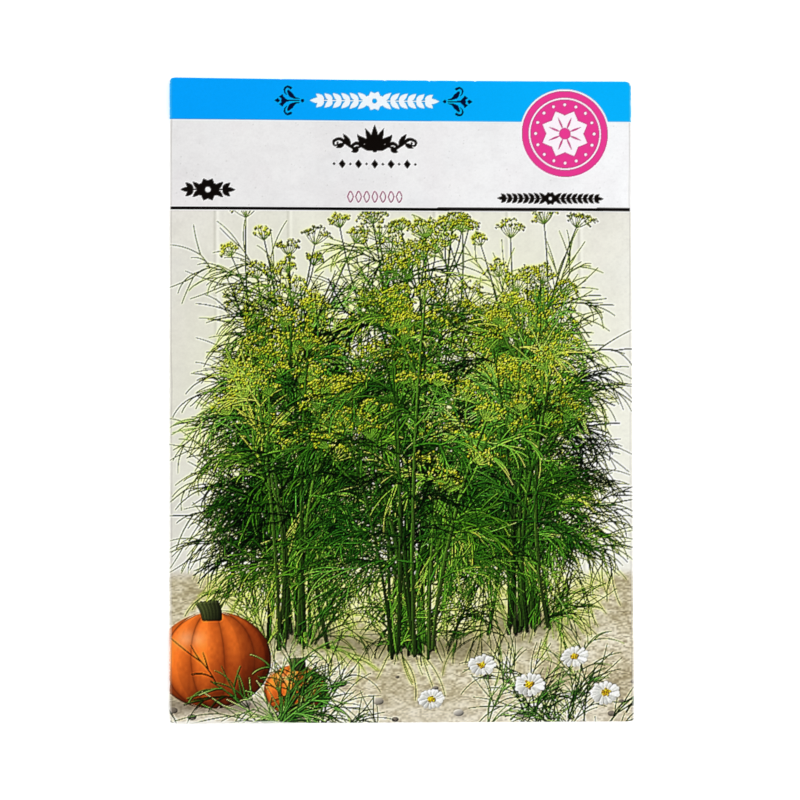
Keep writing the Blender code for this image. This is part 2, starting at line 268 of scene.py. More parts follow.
def clouds(canvas, cell_x, cell_y, seed):
    """Smooth chance tones from 0 to 1 in cells of a size in millimetres."""
    chance = np.random.default_rng(seed)
    shape = (int(2 * CANVAS_Y / cell_y) + 3, int(2 * CANVAS_X / cell_x) + 3, 1)
    grid = chance.random(shape, dtype=np.float32)
    columns = (canvas.x + CANVAS_X) / cell_x
    rows = (canvas.y + CANVAS_Y) / cell_y
    columns = np.floor(columns) + smooth(columns % 1.0)
    rows = np.floor(rows) + smooth(rows % 1.0)
    return between(between(grid, rows, 0), columns, 1)[..., 0]


class Strokes:
    """Curved strokes of the brush, kept until they are painted together."""

    def __init__(self):
        self.rows = []

    def add(self, x, y, heading, length, bend, wide, narrow, start, end):
        """A stroke that turns by bend along its length. Returns where it ends and its heading there."""
        bend = math.copysign(max(abs(bend), LEAST_BEND), bend)
        self.rows.append((x, y, heading, length, bend, wide, narrow, *start, *end))
        return along_stroke(x, y, heading, length, bend, 1.0)

    def paint(self, canvas, relief=0.25, shadow=0.0):
        """Paint the strokes, over their own cast shade where a strength is given for it."""
        rows = np.array(self.rows, dtype=np.float64)
        counts = np.ceil(rows[:, 3] * canvas.dots * 1.1).astype(int) + 2
        which = np.repeat(np.arange(len(rows)), counts)
        step = np.arange(len(which)) - np.repeat(np.cumsum(counts) - counts, counts)
        share = step / (counts[which] - 1)
        x, y, heading, length, bend, wide, narrow = rows[which, :7].T
        turned = heading + bend * share
        at_x = x + length * (np.sin(turned) - np.sin(heading)) / bend
        at_y = y + length * (np.cos(heading) - np.cos(turned)) / bend
        radius = (wide + (narrow - wide) * share) / 2
        start = rows[which, 7:10]
        colour = (start + (rows[which, 10:13] - start) * share[:, None]).astype(np.float32)
        if shadow > 0.0:
            canvas.glaze(at_x, at_y, radius + GLAZE_REACH)
            canvas.shade(at_x + 0.14, at_y - 0.17, radius * 1.3, shadow)
        canvas.stamp(at_x, at_y, radius, colour, relief)
        self.rows = []


def along_stroke(x, y, heading, length, bend, share):
    """The place and heading at a share of a stroke's length."""
    bend = math.copysign(max(abs(bend), LEAST_BEND), bend)
    turned = heading + bend * share
    at_x = x + length * (math.sin(turned) - math.sin(heading)) / bend
    at_y = y + length * (math.cos(heading) - math.cos(turned)) / bend
    return at_x, at_y, turned


LEAF_TONES = (
    tone(2, 20, 0),
    tone(12, 45, 5),
    tone(28, 74, 14),
    tone(57, 110, 33),
    tone(100, 150, 62),
    tone(178, 204, 112),
)


def leaf_tone(level, warmth=0.0):
    """A green from deep shade at 0 to full light at 1, yellower or bluer by its warmth."""
    place = min(max(level, 0.0), 0.999) * (len(LEAF_TONES) - 1)
    low = int(place)
    green = LEAF_TONES[low] + (LEAF_TONES[low + 1] - LEAF_TONES[low]) * (place - low)
    return green * np.array((1.0 + 0.5 * warmth, 1.0, 1.0 - 0.6 * warmth), dtype=np.float32)


def blotches(canvas, cover, sizes, squash, dark, pale, pale_share=1.0):
    """Chance patches of a dark and a pale colour. Sizes are a seed, a cell and a strength for each pass."""
    for seed, cell, strength in sizes:
        patch = (clouds(canvas, cell, cell * squash, seed) - 0.5) * 2 * strength
        canvas.wash(cover * np.clip(patch, 0.0, 1.0), dark)
        canvas.wash(cover * np.clip(-patch, 0.0, 1.0) * pale_share, pale)


def mottle(canvas, cover, strength):
    """Soft cloudy patches, some darker and some lighter, some warmer and some cooler than the rest."""
    sizes = ((51, 8.0, 0.5), (52, 3.6, 0.45), (53, 1.5, 0.4), (54, 0.5, 0.35))
    blotches(canvas, cover * strength, sizes, 0.9, tone(178, 172, 174), tone(255, 254, 252))
    for seed, cell, tint in ((55, 5.0, tone(232, 214, 222)), (56, 6.0, tone(214, 224, 232))):
        patch = smooth((clouds(canvas, cell, cell, seed) - 0.55) * 3)
        canvas.wash(cover * patch * strength * 0.35, tint)


def backdrop(canvas):
    """A pale plastered wall out of focus, a little warmer and darker to the left."""
    across, _ = canvas.places()
    canvas.wash(np.ones_like(across), tone(219, 216, 209))
    canvas.wash(smooth((across + CANVAS_X) / (2 * CANVAS_X)), tone(240, 239, 231))
    sizes = ((1, 26.0, 0.16), (2, 9.0, 0.10), (3, 2.6, 0.05))
    blotches(canvas, 1.0, sizes, 1.3, tone(196, 190, 176), tone(255, 255, 250))


def ground(canvas):
    """A sandy bed, lighter towards its front, that the plants stand in."""
    _, along = canvas.places()
    cover = smooth((-32.0 + clouds(canvas, 14.0, 9.0, 4) * 3.0 - along) / 3.0)
    canvas.wash(cover, tone(213, 202, 179))
    sizes = ((5, 7.0, 0.5), (7, 2.6, 0.4), (8, 0.9, 0.42), (6, 0.4, 0.5))
    blotches(canvas, cover, sizes, 0.55, tone(140, 122, 92), tone(244, 238, 224), 0.8)
    canvas.wash(smooth((-50.0 - along) / 7.0) * 0.3, tone(242, 236, 222))


def frond(strokes, draw, x, y, heading, length, level, thick=0.2, warmth=0.0, bend=None):
    """A feathery leaf that droops: a curved rib with side ribs, each set with long fine threads."""
    bend = draw.uniform(-0.5, 0.5) - 0.8 * math.cos(heading) if bend is None else bend
    rib = leaf_tone(level + 0.04, warmth)
    strokes.add(x, y, heading, length, bend, thick * 1.5, thick, rib, rib)
    nodes = max(int(length / 3.6), 3)
    for k in range(nodes):
        share = (k + 0.6) / nodes
        for side in (-1, 1):
            node = along_stroke(x, y, heading, length, bend, share + draw.uniform(-0.1, 0.1))
            reach = length * 0.5 * (1.0 - 0.45 * share) * draw.uniform(0.5, 1.3)
            turned = node[2] + side * draw.uniform(0.2, 0.8)
            curl = -side * draw.uniform(-0.5, 0.8) - 0.4 * math.cos(turned)
            side_level = level + draw.gauss(0.0, 0.12)
            near = leaf_tone(side_level - 0.06, warmth)
            far = leaf_tone(side_level + 0.05, warmth)
            tip = strokes.add(node[0], node[1], turned, reach, curl, thick * 1.1, thick * 0.8, near, far)
            count = int(reach / 2.9) + 1
            places = [(m + 0.7) / (count + 0.7) for m in range(count)]
            forks = [along_stroke(node[0], node[1], turned, reach, curl, place) for place in places]
            for number, fork in enumerate(forks + [tip, tip]):
                turn = (-1 if number % 2 else 1) * draw.uniform(0.05, 0.5)
                size = min(3.2 + reach * 0.6, 9.0) * draw.uniform(0.4, 1.25)
                end = leaf_tone(side_level + draw.uniform(-0.08, 0.34), warmth)
                droop = draw.uniform(-0.6, 0.6) - 0.55 * math.cos(fork[2] + turn)
                strokes.add(fork[0], fork[1], fork[2] + turn, size, droop, thick, thick * 0.6, near, end)


FLORET_TONES = (
    tone(182, 186, 50),
    tone(146, 162, 36),
    tone(194, 176, 38),
    tone(112, 136, 28),
    tone(208, 210, 92),
)


def umbel(strokes, florets, draw, x, y, heading, size, level):
    """A flower head: rays that fan out from the stem's top, each with a tuft of tiny florets."""
    rays = draw.randint(8, 12)
    stalk = leaf_tone(0.5 + level * 0.35, 0.15)
    gold = draw.uniform(-0.18, 0.14)
    for k in range(rays):
        fan = (k + draw.uniform(0.2, 0.8)) / rays * 2.0 - 1.0
        ray_heading = heading + fan * draw.uniform(1.1, 1.5)
        length = size * (1.0 - 0.2 * abs(fan)) * draw.uniform(0.55, 1.12)
        top = strokes.add(x, y, ray_heading, length, -fan * 0.55, 0.14, 0.11, stalk, stalk)
        for _ in range(draw.randint(4, 7)):
            length = size * draw.uniform(0.06, 0.27)
            turned = top[2] + draw.uniform(-1.6, 1.6)
            end = strokes.add(top[0], top[1], turned, length, 0.2, 0.1, 0.09, stalk, stalk)
            pale = 0.62 + 0.36 * level + gold + draw.uniform(-0.14, 0.14)
            colour = FLORET_TONES[draw.randrange(len(FLORET_TONES))] * pale
            florets.append((end[0], end[1], draw.uniform(0.1, 0.19), *colour))


def paint_florets(canvas, florets):
    """The florets with a little shade under them and a glint on each."""
    rows = np.array(florets, dtype=np.float64)
    shade = (rows[:, 3:6] * 0.36).astype(np.float32)
    glint = np.clip(rows[:, 3:6] * 1.22 + 0.06, 0.0, 1.0).astype(np.float32)
    canvas.stamp(rows[:, 0] + 0.11, rows[:, 1] - 0.13, rows[:, 2], shade, 0.0)
    canvas.stamp(rows[:, 0], rows[:, 1], rows[:, 2], rows[:, 3:6].astype(np.float32), 0.5)
    canvas.stamp(rows[:, 0] - 0.05, rows[:, 1] + 0.05, rows[:, 2] * 0.4, glint, 0.0)


class Herb:
    """One herb of the bed: stems that fan out from its foot, in layers from the back to the front."""

    def __init__(self, draw, middle, foot, spread, height):
        self.draw = draw
        self.middle = middle
        self.foot = foot
        self.spread = spread
        self.height = height
        extent = ((-0.8, 0.8), (0.2, 0.75), (0.12, 0.26))
        self.hollows = [[draw.uniform(*ends) for ends in extent] for _ in range(8)]

    def shade_at(self, x, y):
        """How much darker it is in the hollows between the tufts and towards the herb's core."""
        across = (x - self.middle) / self.spread
        up = (y - self.foot) / self.height
        dark = 0.22 * math.exp(-((across / 0.7) ** 2 + ((up - 0.36) / 0.32) ** 2))
        for at_across, at_up, reach in self.hollows:
            dark += 0.16 * math.exp(-(((across - at_across) ** 2 + (up - at_up) ** 2) / reach**2))
        return dark

    def stem(self, canvas, lean, share, level, leaves, flowers):
        """One stem with its feathery leaves, and flower heads where it has them."""
        draw = self.draw
        base_x = self.middle + draw.gauss(0.0, 1.6) + lean * 3.5
        base_y = self.foot + draw.gauss(0.0, 1.0)
        top_x = self.middle + lean * self.spread
        top_y = self.foot + self.height * (1.0 - 0.3 * lean * lean) * share
        rise = math.hypot(top_x - base_x, top_y - base_y)
        bend = -0.5 * lean + draw.uniform(-0.25, 0.25)
        heading = math.atan2(top_y - base_y, top_x - base_x) - bend / 2
        line = (base_x, base_y, heading, rise, bend)
        green = leaf_tone(0.4 + 0.45 * level, 0.1)
        strokes = Strokes()
        tip = strokes.add(*line, 0.62, 0.3, green * 0.55, green)
        strokes.paint(canvas, 0.5, 0.6)
        self.leaves(canvas, line, leaves, level)
        if flowers:
            self.flowers(canvas, line, tip, flowers, level, green)

    def leaves(self, canvas, line, count, level):
        """Feathery leaves along a stem, smaller and lighter towards its top."""
        draw = self.draw
        strokes = Strokes()
        for k in range(count):
            part = 0.22 + 0.78 * (k + draw.uniform(0.0, 0.9)) / count
            x, y, ahead = along_stroke(*line, part)
            side = draw.choice((-1, 1))
            tint = level + draw.gauss(0.0, 0.1) + 0.36 * (part - 0.5) - self.shade_at(x, y)
            size = draw.uniform(7.5, 15.5) * (1.15 - 0.45 * part)
            warmth = draw.uniform(-0.3, 0.2) + 0.25 * max(level - 0.4, 0.0)
            ahead += side * draw.uniform(0.2, 1.4)
            frond(strokes, draw, x, y, ahead, size, tint, draw.uniform(0.15, 0.22), warmth)
            strokes.paint(canvas, 0.2, 0.32)

    def flowers(self, canvas, line, tip, count, level, green):
        """Flower heads on side stalks of a stem, and one at its tip."""
        draw = self.draw
        strokes = Strokes()
        florets = []
        for _ in range(count):
            x, y, ahead = along_stroke(*line, draw.uniform(0.6, 0.95))
            turn = draw.choice((-1, 1)) * draw.uniform(0.3, 0.9)
            length = draw.uniform(4, 10)
            end = strokes.add(x, y, ahead + turn, length, -turn * 0.8, 0.3, 0.2, green * 0.9, green)
            umbel(strokes, florets, draw, *end, draw.uniform(2.0, 3.8), level + draw.uniform(0.05, 0.35))
        umbel(strokes, florets, draw, *tip, draw.uniform(2.6, 4.4), level + 0.25)
        strokes.paint(canvas, 0.35)
        paint_florets(canvas, florets)

    def layer(self, canvas, stems, leaves, levels, flowering, shares):
        """A row of stems in chance order. Levels and shares are the ends of their light and height."""
        draw = self.draw
        order = list(range(stems))
        draw.shuffle(order)
        for k in order:
            lean = ((k + draw.uniform(0.0, 1.0)) / stems) * 2.0 - 1.0
            flowers = draw.randint(2, 4) if draw.random() < flowering else 0
            self.stem(canvas, lean, draw.uniform(*shares), draw.uniform(*levels), leaves, flowers)


def glow(canvas, herb):
    """The light on the wall behind a herb, tinted by its leaves."""
    across = ((canvas.x - herb.middle) / (herb.spread * 2.0))[None, :]
    up = ((canvas.y - herb.foot) / herb.height - 0.55)[:, None]
    canvas.wash(np.exp(-(across**2 + (up / 0.42) ** 2)) * 0.55, tone(238, 241, 205))


def tint_gaps(canvas):
    """Light that has passed through the leaves tints the gaps between them: it has lost its blue."""
    near = canvas.ink[..., 1:]
    for axis in (0, 1):
        for _ in range(2):
            near = running_mean(near, 4, axis)
    leafy = smooth((near[..., 0] - near[..., 1] - 0.06) / 0.16)
    canvas.ink *= 1.0 - leafy[..., None] * GAP_TINT


def shade_foot(canvas, herb):
    """The shade on the sand under a herb."""
    across = ((canvas.x - herb.middle - 1.5) / (herb.spread * 1.1))[None, :]
    along = ((canvas.y - herb.foot - 0.4) / 2.4)[:, None]
    canvas.wash(np.exp(-(across**2 + along**2)) * 0.66, tone(88, 80, 52))


def tuft(canvas, herb, count):
    """Young leaves round a herb's foot."""
    draw = herb.draw
    strokes = Strokes()
    for _ in range(count):
        x = herb.middle + draw.uniform(-0.55, 0.55) * herb.spread
        heading = math.pi / 2 - (x - herb.middle) / herb.spread * 1.5 + draw.uniform(-0.5, 0.5)
        foot = herb.foot + draw.uniform(-2.4, 0.6)
        frond(strokes, draw, x, foot, heading, draw.uniform(6, 11), draw.uniform(0.3, 0.8), 0.17, 0.1)
        strokes.paint(canvas, 0.3, 0.35)


def core(canvas, herb, count):
    """Deep shade inside a herb: dark threads laid thick where hardly any light comes in."""
    draw = herb.draw
    strokes = Strokes()
    for _ in range(count):
        x = herb.middle + draw.gauss(0.0, 0.33) * herb.spread
        y = herb.foot + (0.42 + draw.gauss(0.0, 0.16)) * herb.height
        heading = math.pi / 2 + draw.uniform(-2.4, 2.4)
        frond(strokes, draw, x, y, heading, draw.uniform(8, 16), draw.uniform(0.0, 0.2), 0.34)
    strokes.paint(canvas, 0.0)


def daisy(canvas, draw, x, y, size):
    """A white bloom with a yellow middle, seen a little from the side."""
    squash = 0.72
    strokes = Strokes()
    petals = draw.randint(15, 19)
    for k in range(petals):
        around = 2 * math.pi * k / petals + draw.uniform(-0.08, 0.08)
        reach = size * draw.uniform(0.85, 1.05) * math.hypot(math.cos(around), squash * math.sin(around))
        heading = math.atan2(squash * math.sin(around), math.cos(around))
        shade = draw.uniform(0.86, 1.0) - 0.12 * (math.sin(heading) < -0.4)
        inner = tone(205, 208, 196) * shade
        outer = tone(252, 252, 246) * shade
        strokes.add(x, y, heading, reach * 0.8, 0.1, size * 0.12, size * 0.27, inner, outer)
    strokes.paint(canvas, 0.16)
    places = np.array([(x + draw.gauss(0, size * 0.1), y + draw.gauss(0, size * 0.08)) for _ in range(70)])
    colours = np.array([tone(230, 176, 30) * draw.uniform(0.7, 1.1) for _ in range(70)], dtype=np.float32)
    canvas.stamp(places[:, 0], places[:, 1], np.full(70, size * 0.07), colours, 0.5)


def tall_flowers(canvas, herb, count):
    """Flower heads on thin stalks that stand out above the leaves."""
    draw = herb.draw
    for k in range(count):
        lean = (k + draw.uniform(0.1, 0.9)) / count * 2.0 - 1.0
        base_x = herb.middle + lean * herb.spread * 0.7
        base_y = herb.foot + herb.height * 0.7
        heading = math.pi / 2 - lean * 0.35 + draw.uniform(-0.15, 0.15)
        length = (32.0 - base_y) * draw.uniform(0.72, 1.02)
        level = draw.uniform(0.5, 0.75)
        strokes = Strokes()
        florets = []
        green = leaf_tone(level, 0.1)
        bend = draw.uniform(-0.3, 0.3)
        tip = strokes.add(base_x, base_y, heading, length, bend, 0.34, 0.2, green * 0.8, green)
        umbel(strokes, florets, draw, *tip, draw.uniform(2.0, 3.4), level + 0.2)
        strokes.paint(canvas, 0.35)
        paint_florets(canvas, florets)


def hanging(canvas, herb, count):
    """Lower leaves that hang over the herb's foot."""
    draw = herb.draw
    strokes = Strokes()
    for _ in range(count):
        x = herb.middle + draw.uniform(-0.85, 0.85) * herb.spread
        y = herb.foot + draw.uniform(0.2, 0.42) * herb.height
        heading = -math.pi / 2 + draw.uniform(-0.6, 0.6)
        length = draw.uniform(10, 19)
        level = draw.uniform(0.28, 0.8)
        frond(strokes, draw, x, y, heading, length, level, 0.17, 0.1, draw.uniform(-0.5, 0.5))
        strokes.paint(canvas, 0.3, 0.3)


def gourd(canvas, x, y, half_wide, half_high, lobes, tilt):
    """A ribbed orange gourd in soft light from the upper left, on the shade that it casts."""
    reach = max(half_wide, half_high) * 1.5
    part, across, along = canvas.window(x, y, reach)
    under = np.exp(-((across / half_wide) ** 2 + ((along / half_high + 0.93) / 0.16) ** 2))
    part -= (under * 0.62)[..., None] * (part - tone(70, 56, 42))
    u = (across * math.cos(tilt) + along * math.sin(tilt)) / half_wide
    v = (along * math.cos(tilt) - across * math.sin(tilt)) / half_high
    width = np.sqrt(np.clip(1.0 - v * v, 0.0001, 1.0))
    longitude = np.arcsin(np.clip(u / width, -1.0, 1.0))
    lobe = longitude * lobes / 2.0 + 0.6
    groove = np.abs(np.cos(lobe))
    slope = 0.34 * np.cos(lobe) * np.sign(np.sin(lobe)) * (1.0 - groove) ** 0.3
    side = np.sin(longitude) * width + slope
    facing = np.sqrt(np.clip(1.0 - (np.sin(longitude) * width) ** 2 - v * v, 0.0, 1.0))
    light = np.clip(0.22 - 0.42 * side + 0.40 * v + 0.62 * facing, 0.05, 1.2)
    light *= 0.55 + 0.45 * groove**0.5
    first_i, first_j = canvas.corner(x, y, reach)
    skin = clouds(canvas, 2.6, 3.4, 31) * 0.6 + clouds(canvas, 0.5, 0.7, 32) * 0.4 - 0.5
    skin = skin[first_j : first_j + part.shape[0], first_i : first_i + part.shape[1]]
    deep = tone(140, 38, 8)
    bright = tone(240, 122, 40)
    colour = deep + (bright - deep) * np.clip(light * 0.9 + skin * 0.3, 0.0, 1.1)[..., None]
    colour *= np.clip(0.5 + light * 0.62, 0.0, 1.1)[..., None]
    glint = np.exp(-(((u + 0.36) / 0.2) ** 2 + ((v - 0.46) / 0.16) ** 2)) * (0.35 + 0.65 * groove)
    colour += (glint * 0.5)[..., None] * (tone(255, 236, 214) - colour)
    outline = 1.0 - 0.05 * (1.0 - groove) ** 3
    cover = np.clip((outline - np.hypot(u, v)) * half_wide * 6.0, 0.0, 1.0)
    part += cover[..., None] * (np.clip(colour, 0.0, 1.0) - part)
    stalk(canvas, x, y, half_wide, half_high * 0.86, tilt)


def stalk(canvas, x, y, half_wide, high, tilt):
    """A gourd's stub of stalk: strokes side by side that spread a little, darker to the right."""
    strokes = Strokes()
    for k in range(6):
        green = tone(96, 108, 54) * (1.05 - 0.1 * k)
        foot_x = x - math.sin(tilt) * high + (k - 2.5) * half_wide * 0.05
        foot_y = y + math.cos(tilt) * high
        heading = math.pi / 2 + tilt + (2.5 - k) * 0.06
        strokes.add(foot_x, foot_y, heading, high * 0.395, 0.5, 1.0, 0.7, green * 0.6, green)
    strokes.paint(canvas, 0.4)


def pebbles(canvas, draw, count):
    """Smooth stones in the sand, each lit from the upper left."""
    for _ in range(count):
        x = draw.uniform(-44, 44)
        y = draw.uniform(-61, -49)
        size = draw.uniform(0.35, 1.3)
        part, across, along = canvas.window(x, y, size * 1.7)
        near = (across / size) ** 2 + (along / (size * 0.66)) ** 2
        under = np.exp(-(((across - size * 0.25) / size) ** 2 + ((along + size * 0.4) / (size * 0.6)) ** 2))
        part -= (under * 0.4)[..., None] * (part - tone(92, 80, 64))
        light = np.clip(0.8 + 0.3 * (along / size * 1.2 - across / size * 0.6), 0.35, 1.15)
        stone = tone(*draw.choice(((196, 188, 172), (168, 158, 142), (214, 208, 196), (150, 138, 124))))
        cover = np.clip((1.0 - near) * 4.0, 0.0, 1.0)[..., None]
        part += cover * (np.clip(stone * light[..., None], 0.0, 1.0) - part)


def sprouts(canvas, draw, count):
    """Young leaves along the foot of the picture, in front of all but the daisies."""
    strokes = Strokes()
    for _ in range(count):
        x = draw.uniform(-42, 42)
        heading = math.pi / 2 + draw.uniform(-0.9, 0.9)
        y = draw.uniform(-63, -54)
        frond(strokes, draw, x, y, heading, draw.uniform(7, 13), draw.uniform(0.3, 0.85), 0.2)
        strokes.paint(canvas, 0.3, 0.4)


def boards(canvas):
    """Faint joints between the pale boards of the wall behind."""
    across, along = canvas.places()
    upper = (along > -36.0) * 1.0
    for x in range(-46, 47, 13):
        away = across - x + 0.3 * np.sin(along * 0.05)
        canvas.wash(np.exp(-((away / 0.28) ** 2)) * upper * 0.4, tone(186, 182, 172))
        canvas.wash(np.exp(-(((away - 0.55) / 0.3) ** 2)) * upper * 0.5, tone(250, 249, 244))


def picture(canvas):
    """A bed of feathery herbs in flower against a pale wall, with gourds and daisies at its foot."""
    draw = random.Random(PICTURE_SEED)
    far = Canvas(FAR_DOTS)
    backdrop(far)
    mottle(far, np.ones((far.high, far.wide), dtype=np.float32), 0.18)
    boards(far)
    ground(far)
    canvas.copy_from(far)
    herbs = [Herb(draw, *sizes) for sizes in HERBS]
    for herb in herbs:
        glow(canvas, herb)
        shade_foot(canvas, herb)
    for herb in herbs:
        herb.layer(canvas, 9, 7, (0.32, 0.7), 0.9, (0.62, 1.0))
        tall_flowers(canvas, herb, 5)
    for herb in herbs:
        core(canvas, herb, 9)
        herb.layer(canvas, 8, 7, (0.33, 0.7), 0.95, (0.6, 0.97))
    for herb in herbs:
        hanging(canvas, herb, 10)
        tuft(canvas, herb, 7)
        herb.layer(canvas, 7, 6, (0.44, 0.86), 1.0, (0.45, 0.92))
    tint_gaps(canvas)
    pebbles(canvas, draw, STONES)
    for sizes in GOURDS:
        gourd(canvas, *sizes)
    sprouts(canvas, draw, SPROUTS)
    for x, y, size in DAISIES:
        daisy(canvas, draw, x, y, size)
    canvas.sharpen(PICTURE_REACH, PICTURE_CRISPNESS)


def fill(canvas, points, colour):
    """Fill a shape whose corners are given in millimetres."""
    corners = np.array(points, dtype=np.float64)
    x, y = corners.mean(axis=0)
    part, across, along = canvas.window(x, y, float(np.abs(corners - (x, y)).max()) + 0.2)
    inside = np.zeros(across.shape, dtype=bool)
    for (x0, y0), (x1, y1) in zip(corners - (x, y), np.roll(corners, -1, axis=0) - (x, y)):
        if y0 != y1:
            crossed = (along > min(y0, y1)) & (along <= max(y0, y1))
            inside ^= crossed & (across < x0 + (along - y0) * (x1 - x0) / (y1 - y0))
    part[inside] = colour


def ribbon(canvas, points, widths, colour):
    """Paint a smooth line through points, as wide at each as the list says."""
    knots = np.array(points, dtype=np.float64)
    padded = np.vstack((2 * knots[0] - knots[1], knots, 2 * knots[-1] - knots[-2]))
    places = np.linspace(0.0, len(knots) - 1.001, 60 * len(knots))
    low = places.astype(int)
    part = (places - low)[:, None]
    before, start, end, after = (padded[low + k] for k in range(4))
    rise = 2 * before - 5 * start + 4 * end - after
    turn = 3 * start - before - 3 * end + after
    line = 0.5 * (2 * start + (end - before) * part + rise * part**2 + turn * part**3)
    radius = np.interp(places, range(len(widths)), widths) / 2
    canvas.stamp(line[:, 0], line[:, 1], radius, np.tile(colour, (len(line), 1)), 0.0)


def disc(canvas, x, y, radius, colour):
    """Fill a round."""
    part, across, along = canvas.window(x, y, radius + 0.2)
    part[np.hypot(across, along) <= radius] = colour


def leaf_shape(x, y, heading, length, width):
    """The outline of a pointed leaf that grows from a place."""
    outline = []
    for side in (1, -1):
        for k in range(8):
            share = k / 8 if side > 0 else 1.0 - k / 8
            out = length * share
            aside = side * width / 2 * math.sin(math.pi * share**0.8)
            at_x = x + out * math.cos(heading) - aside * math.sin(heading)
            at_y = y + out * math.sin(heading) + aside * math.cos(heading)
            outline.append((at_x, at_y))
    return outline


def diamond(x, y, half_wide, half_high):
    """The corners of a diamond round a place."""
    return [(x - half_wide, y), (x, y + half_high), (x + half_wide, y), (x, y - half_high)]


# One side of the lily ornament, in millimetres out from its tip and up from its middle
FLEURON_CROWN = ((0.82, 0.66), (1.45, 1.14), (1.62, 0.72), (2.3, 0.1), (2.3, 0.0), (1.15, 0.0), (1.3, 0.3))
FLEURON_TEAR = ((4.4, 0.36), (3.66, 0.5), (2.98, 1.0), (2.55, 1.6), (2.42, 1.84))
FLEURON_CURL = ((2.2, 1.05), (1.86, 1.5), (1.84, 2.1), (2.3, 2.5), (2.9, 2.28))


def fleuron(canvas, x, y, way, colour):
    """The small lily ornament at each end of the band. Way is 1 where its tip points left, or -1."""

    def place(side, *points):
        return [(x + way * px, y + side * py) for px, py in points]

    fill(canvas, place(1, (0.0, 0.0), (0.62, 0.42), (1.0, 0.0), (0.62, -0.42)), colour)
    for side in (1, -1):
        fill(canvas, place(side, *FLEURON_CROWN), colour)
        ribbon(canvas, place(side, *FLEURON_TEAR), (0.14, 0.34, 0.84, 0.5, 0.12), colour)
        ribbon(canvas, place(side, *FLEURON_CURL), (0.1, 0.24, 0.32, 0.34, 0.46), colour)
    ribbon(canvas, place(1, (2.2, 0.0), (3.2, 0.0), (4.4, 0.0)), (0.34, 0.2, 0.18), colour)
    disc(canvas, x + way * 5.0, y, 0.29, colour)


def rosette(canvas, x, y, radius, petals, colour, heart):
    """A round flower of even petals with a dot in its middle."""
    for k in range(petals):
        heading = 2 * math.pi * (k + 0.5) / petals
        fill(canvas, leaf_shape(x, y, heading, radius, 2.2 * radius * math.sin(math.pi / petals)), colour)
    disc(canvas, x, y, radius * 0.24, heart)


def garland(canvas, x, y, half_wide, leaf, colour, heart, bloom=0.8):
    """A band of paired leaves that point away from a rosette in its middle."""
    pairs = round((half_wide - leaf) / (leaf * 0.66))
    step = (half_wide - leaf) / pairs
    for way in (-1, 1):
        end = x + way * (half_wide - leaf)
        ribbon(canvas, [(x, y), (x + way * half_wide / 2, y), (end, y)], (0.2, 0.2, 0.16), colour)
        for k in range(pairs):
            at_x = x + way * (leaf * 0.55 + step * k)
            length = leaf * (1.0 - 0.2 * k / pairs)
            for side in (-1, 1):
                heading = side * 0.72 if way > 0 else math.pi - side * 0.72
                fill(canvas, leaf_shape(at_x, y, heading, length, leaf * 0.44), colour)
        fill(canvas, leaf_shape(end, y, 0.0 if way > 0 else math.pi, leaf, leaf * 0.42), colour)
    rosette(canvas, x, y, leaf * bloom, 8, colour, heart)


# The palmette's fan, as each leaf's turn, length and width, then the right one of its scrolls and its
# tail, as places and how wide the line is there, and the place, heading and length of their leaves
FAN = ((0.0, 1.0, 0.30), (0.42, 0.94, 0.27), (0.86, 0.82, 0.24), (1.32, 0.66, 0.2))
SCROLL = (
    (
        *((0.25, 0.0), (1.2, -0.1), (2.3, 0.55), (3.2, 1.0)),
        *((3.95, 0.55), (3.75, -0.1), (3.2, -0.02), (3.2, 0.35)),
    ),
    (0.5, 0.46, 0.6, 0.62, 0.5, 0.36, 0.3, 0.4),
)
TAIL = (
    ((2.3, 0.55), (3.6, 0.1), (5.0, 0.95), (6.2, 1.75), (7.3, 1.35), (7.2, 0.65), (6.6, 0.72), (6.6, 1.08)),
    (0.3, 0.46, 0.6, 0.6, 0.46, 0.34, 0.28, 0.38),
)
SCROLL_LEAVES = (
    (1.9, 0.5, 1.05, 2.5),
    (4.3, 0.8, 0.95, 2.4),
    (5.4, 0.95, -0.5, 1.7),
    (2.8, -0.05, -0.35, 1.5),
)


def palmette(canvas, x, y, high, colour):
    """A fan of leaves over two pairs of scrolls."""
    for side in (-1, 1):
        for turn, length, width in FAN:
            fill(canvas, leaf_shape(x, y, math.pi / 2 + side * turn, high * length, high * width), colour)
        for line, widths in (SCROLL, TAIL):
            ribbon(canvas, [(x + side * px, y + py) for px, py in line], widths, colour)
        for px, py, turn, length in SCROLL_LEAVES:
            heading = turn if side > 0 else math.pi - turn
            fill(canvas, leaf_shape(x + side * px, y + py, heading, length, 0.85), colour)
    disc(canvas, x, y - 0.1, 0.52, colour)


def askew(x):
    """How far down the header's lines lie here, because the sheet wasn't quite true in the press."""
    return 0.042 - 0.0026 * x - 0.00005 * x**2


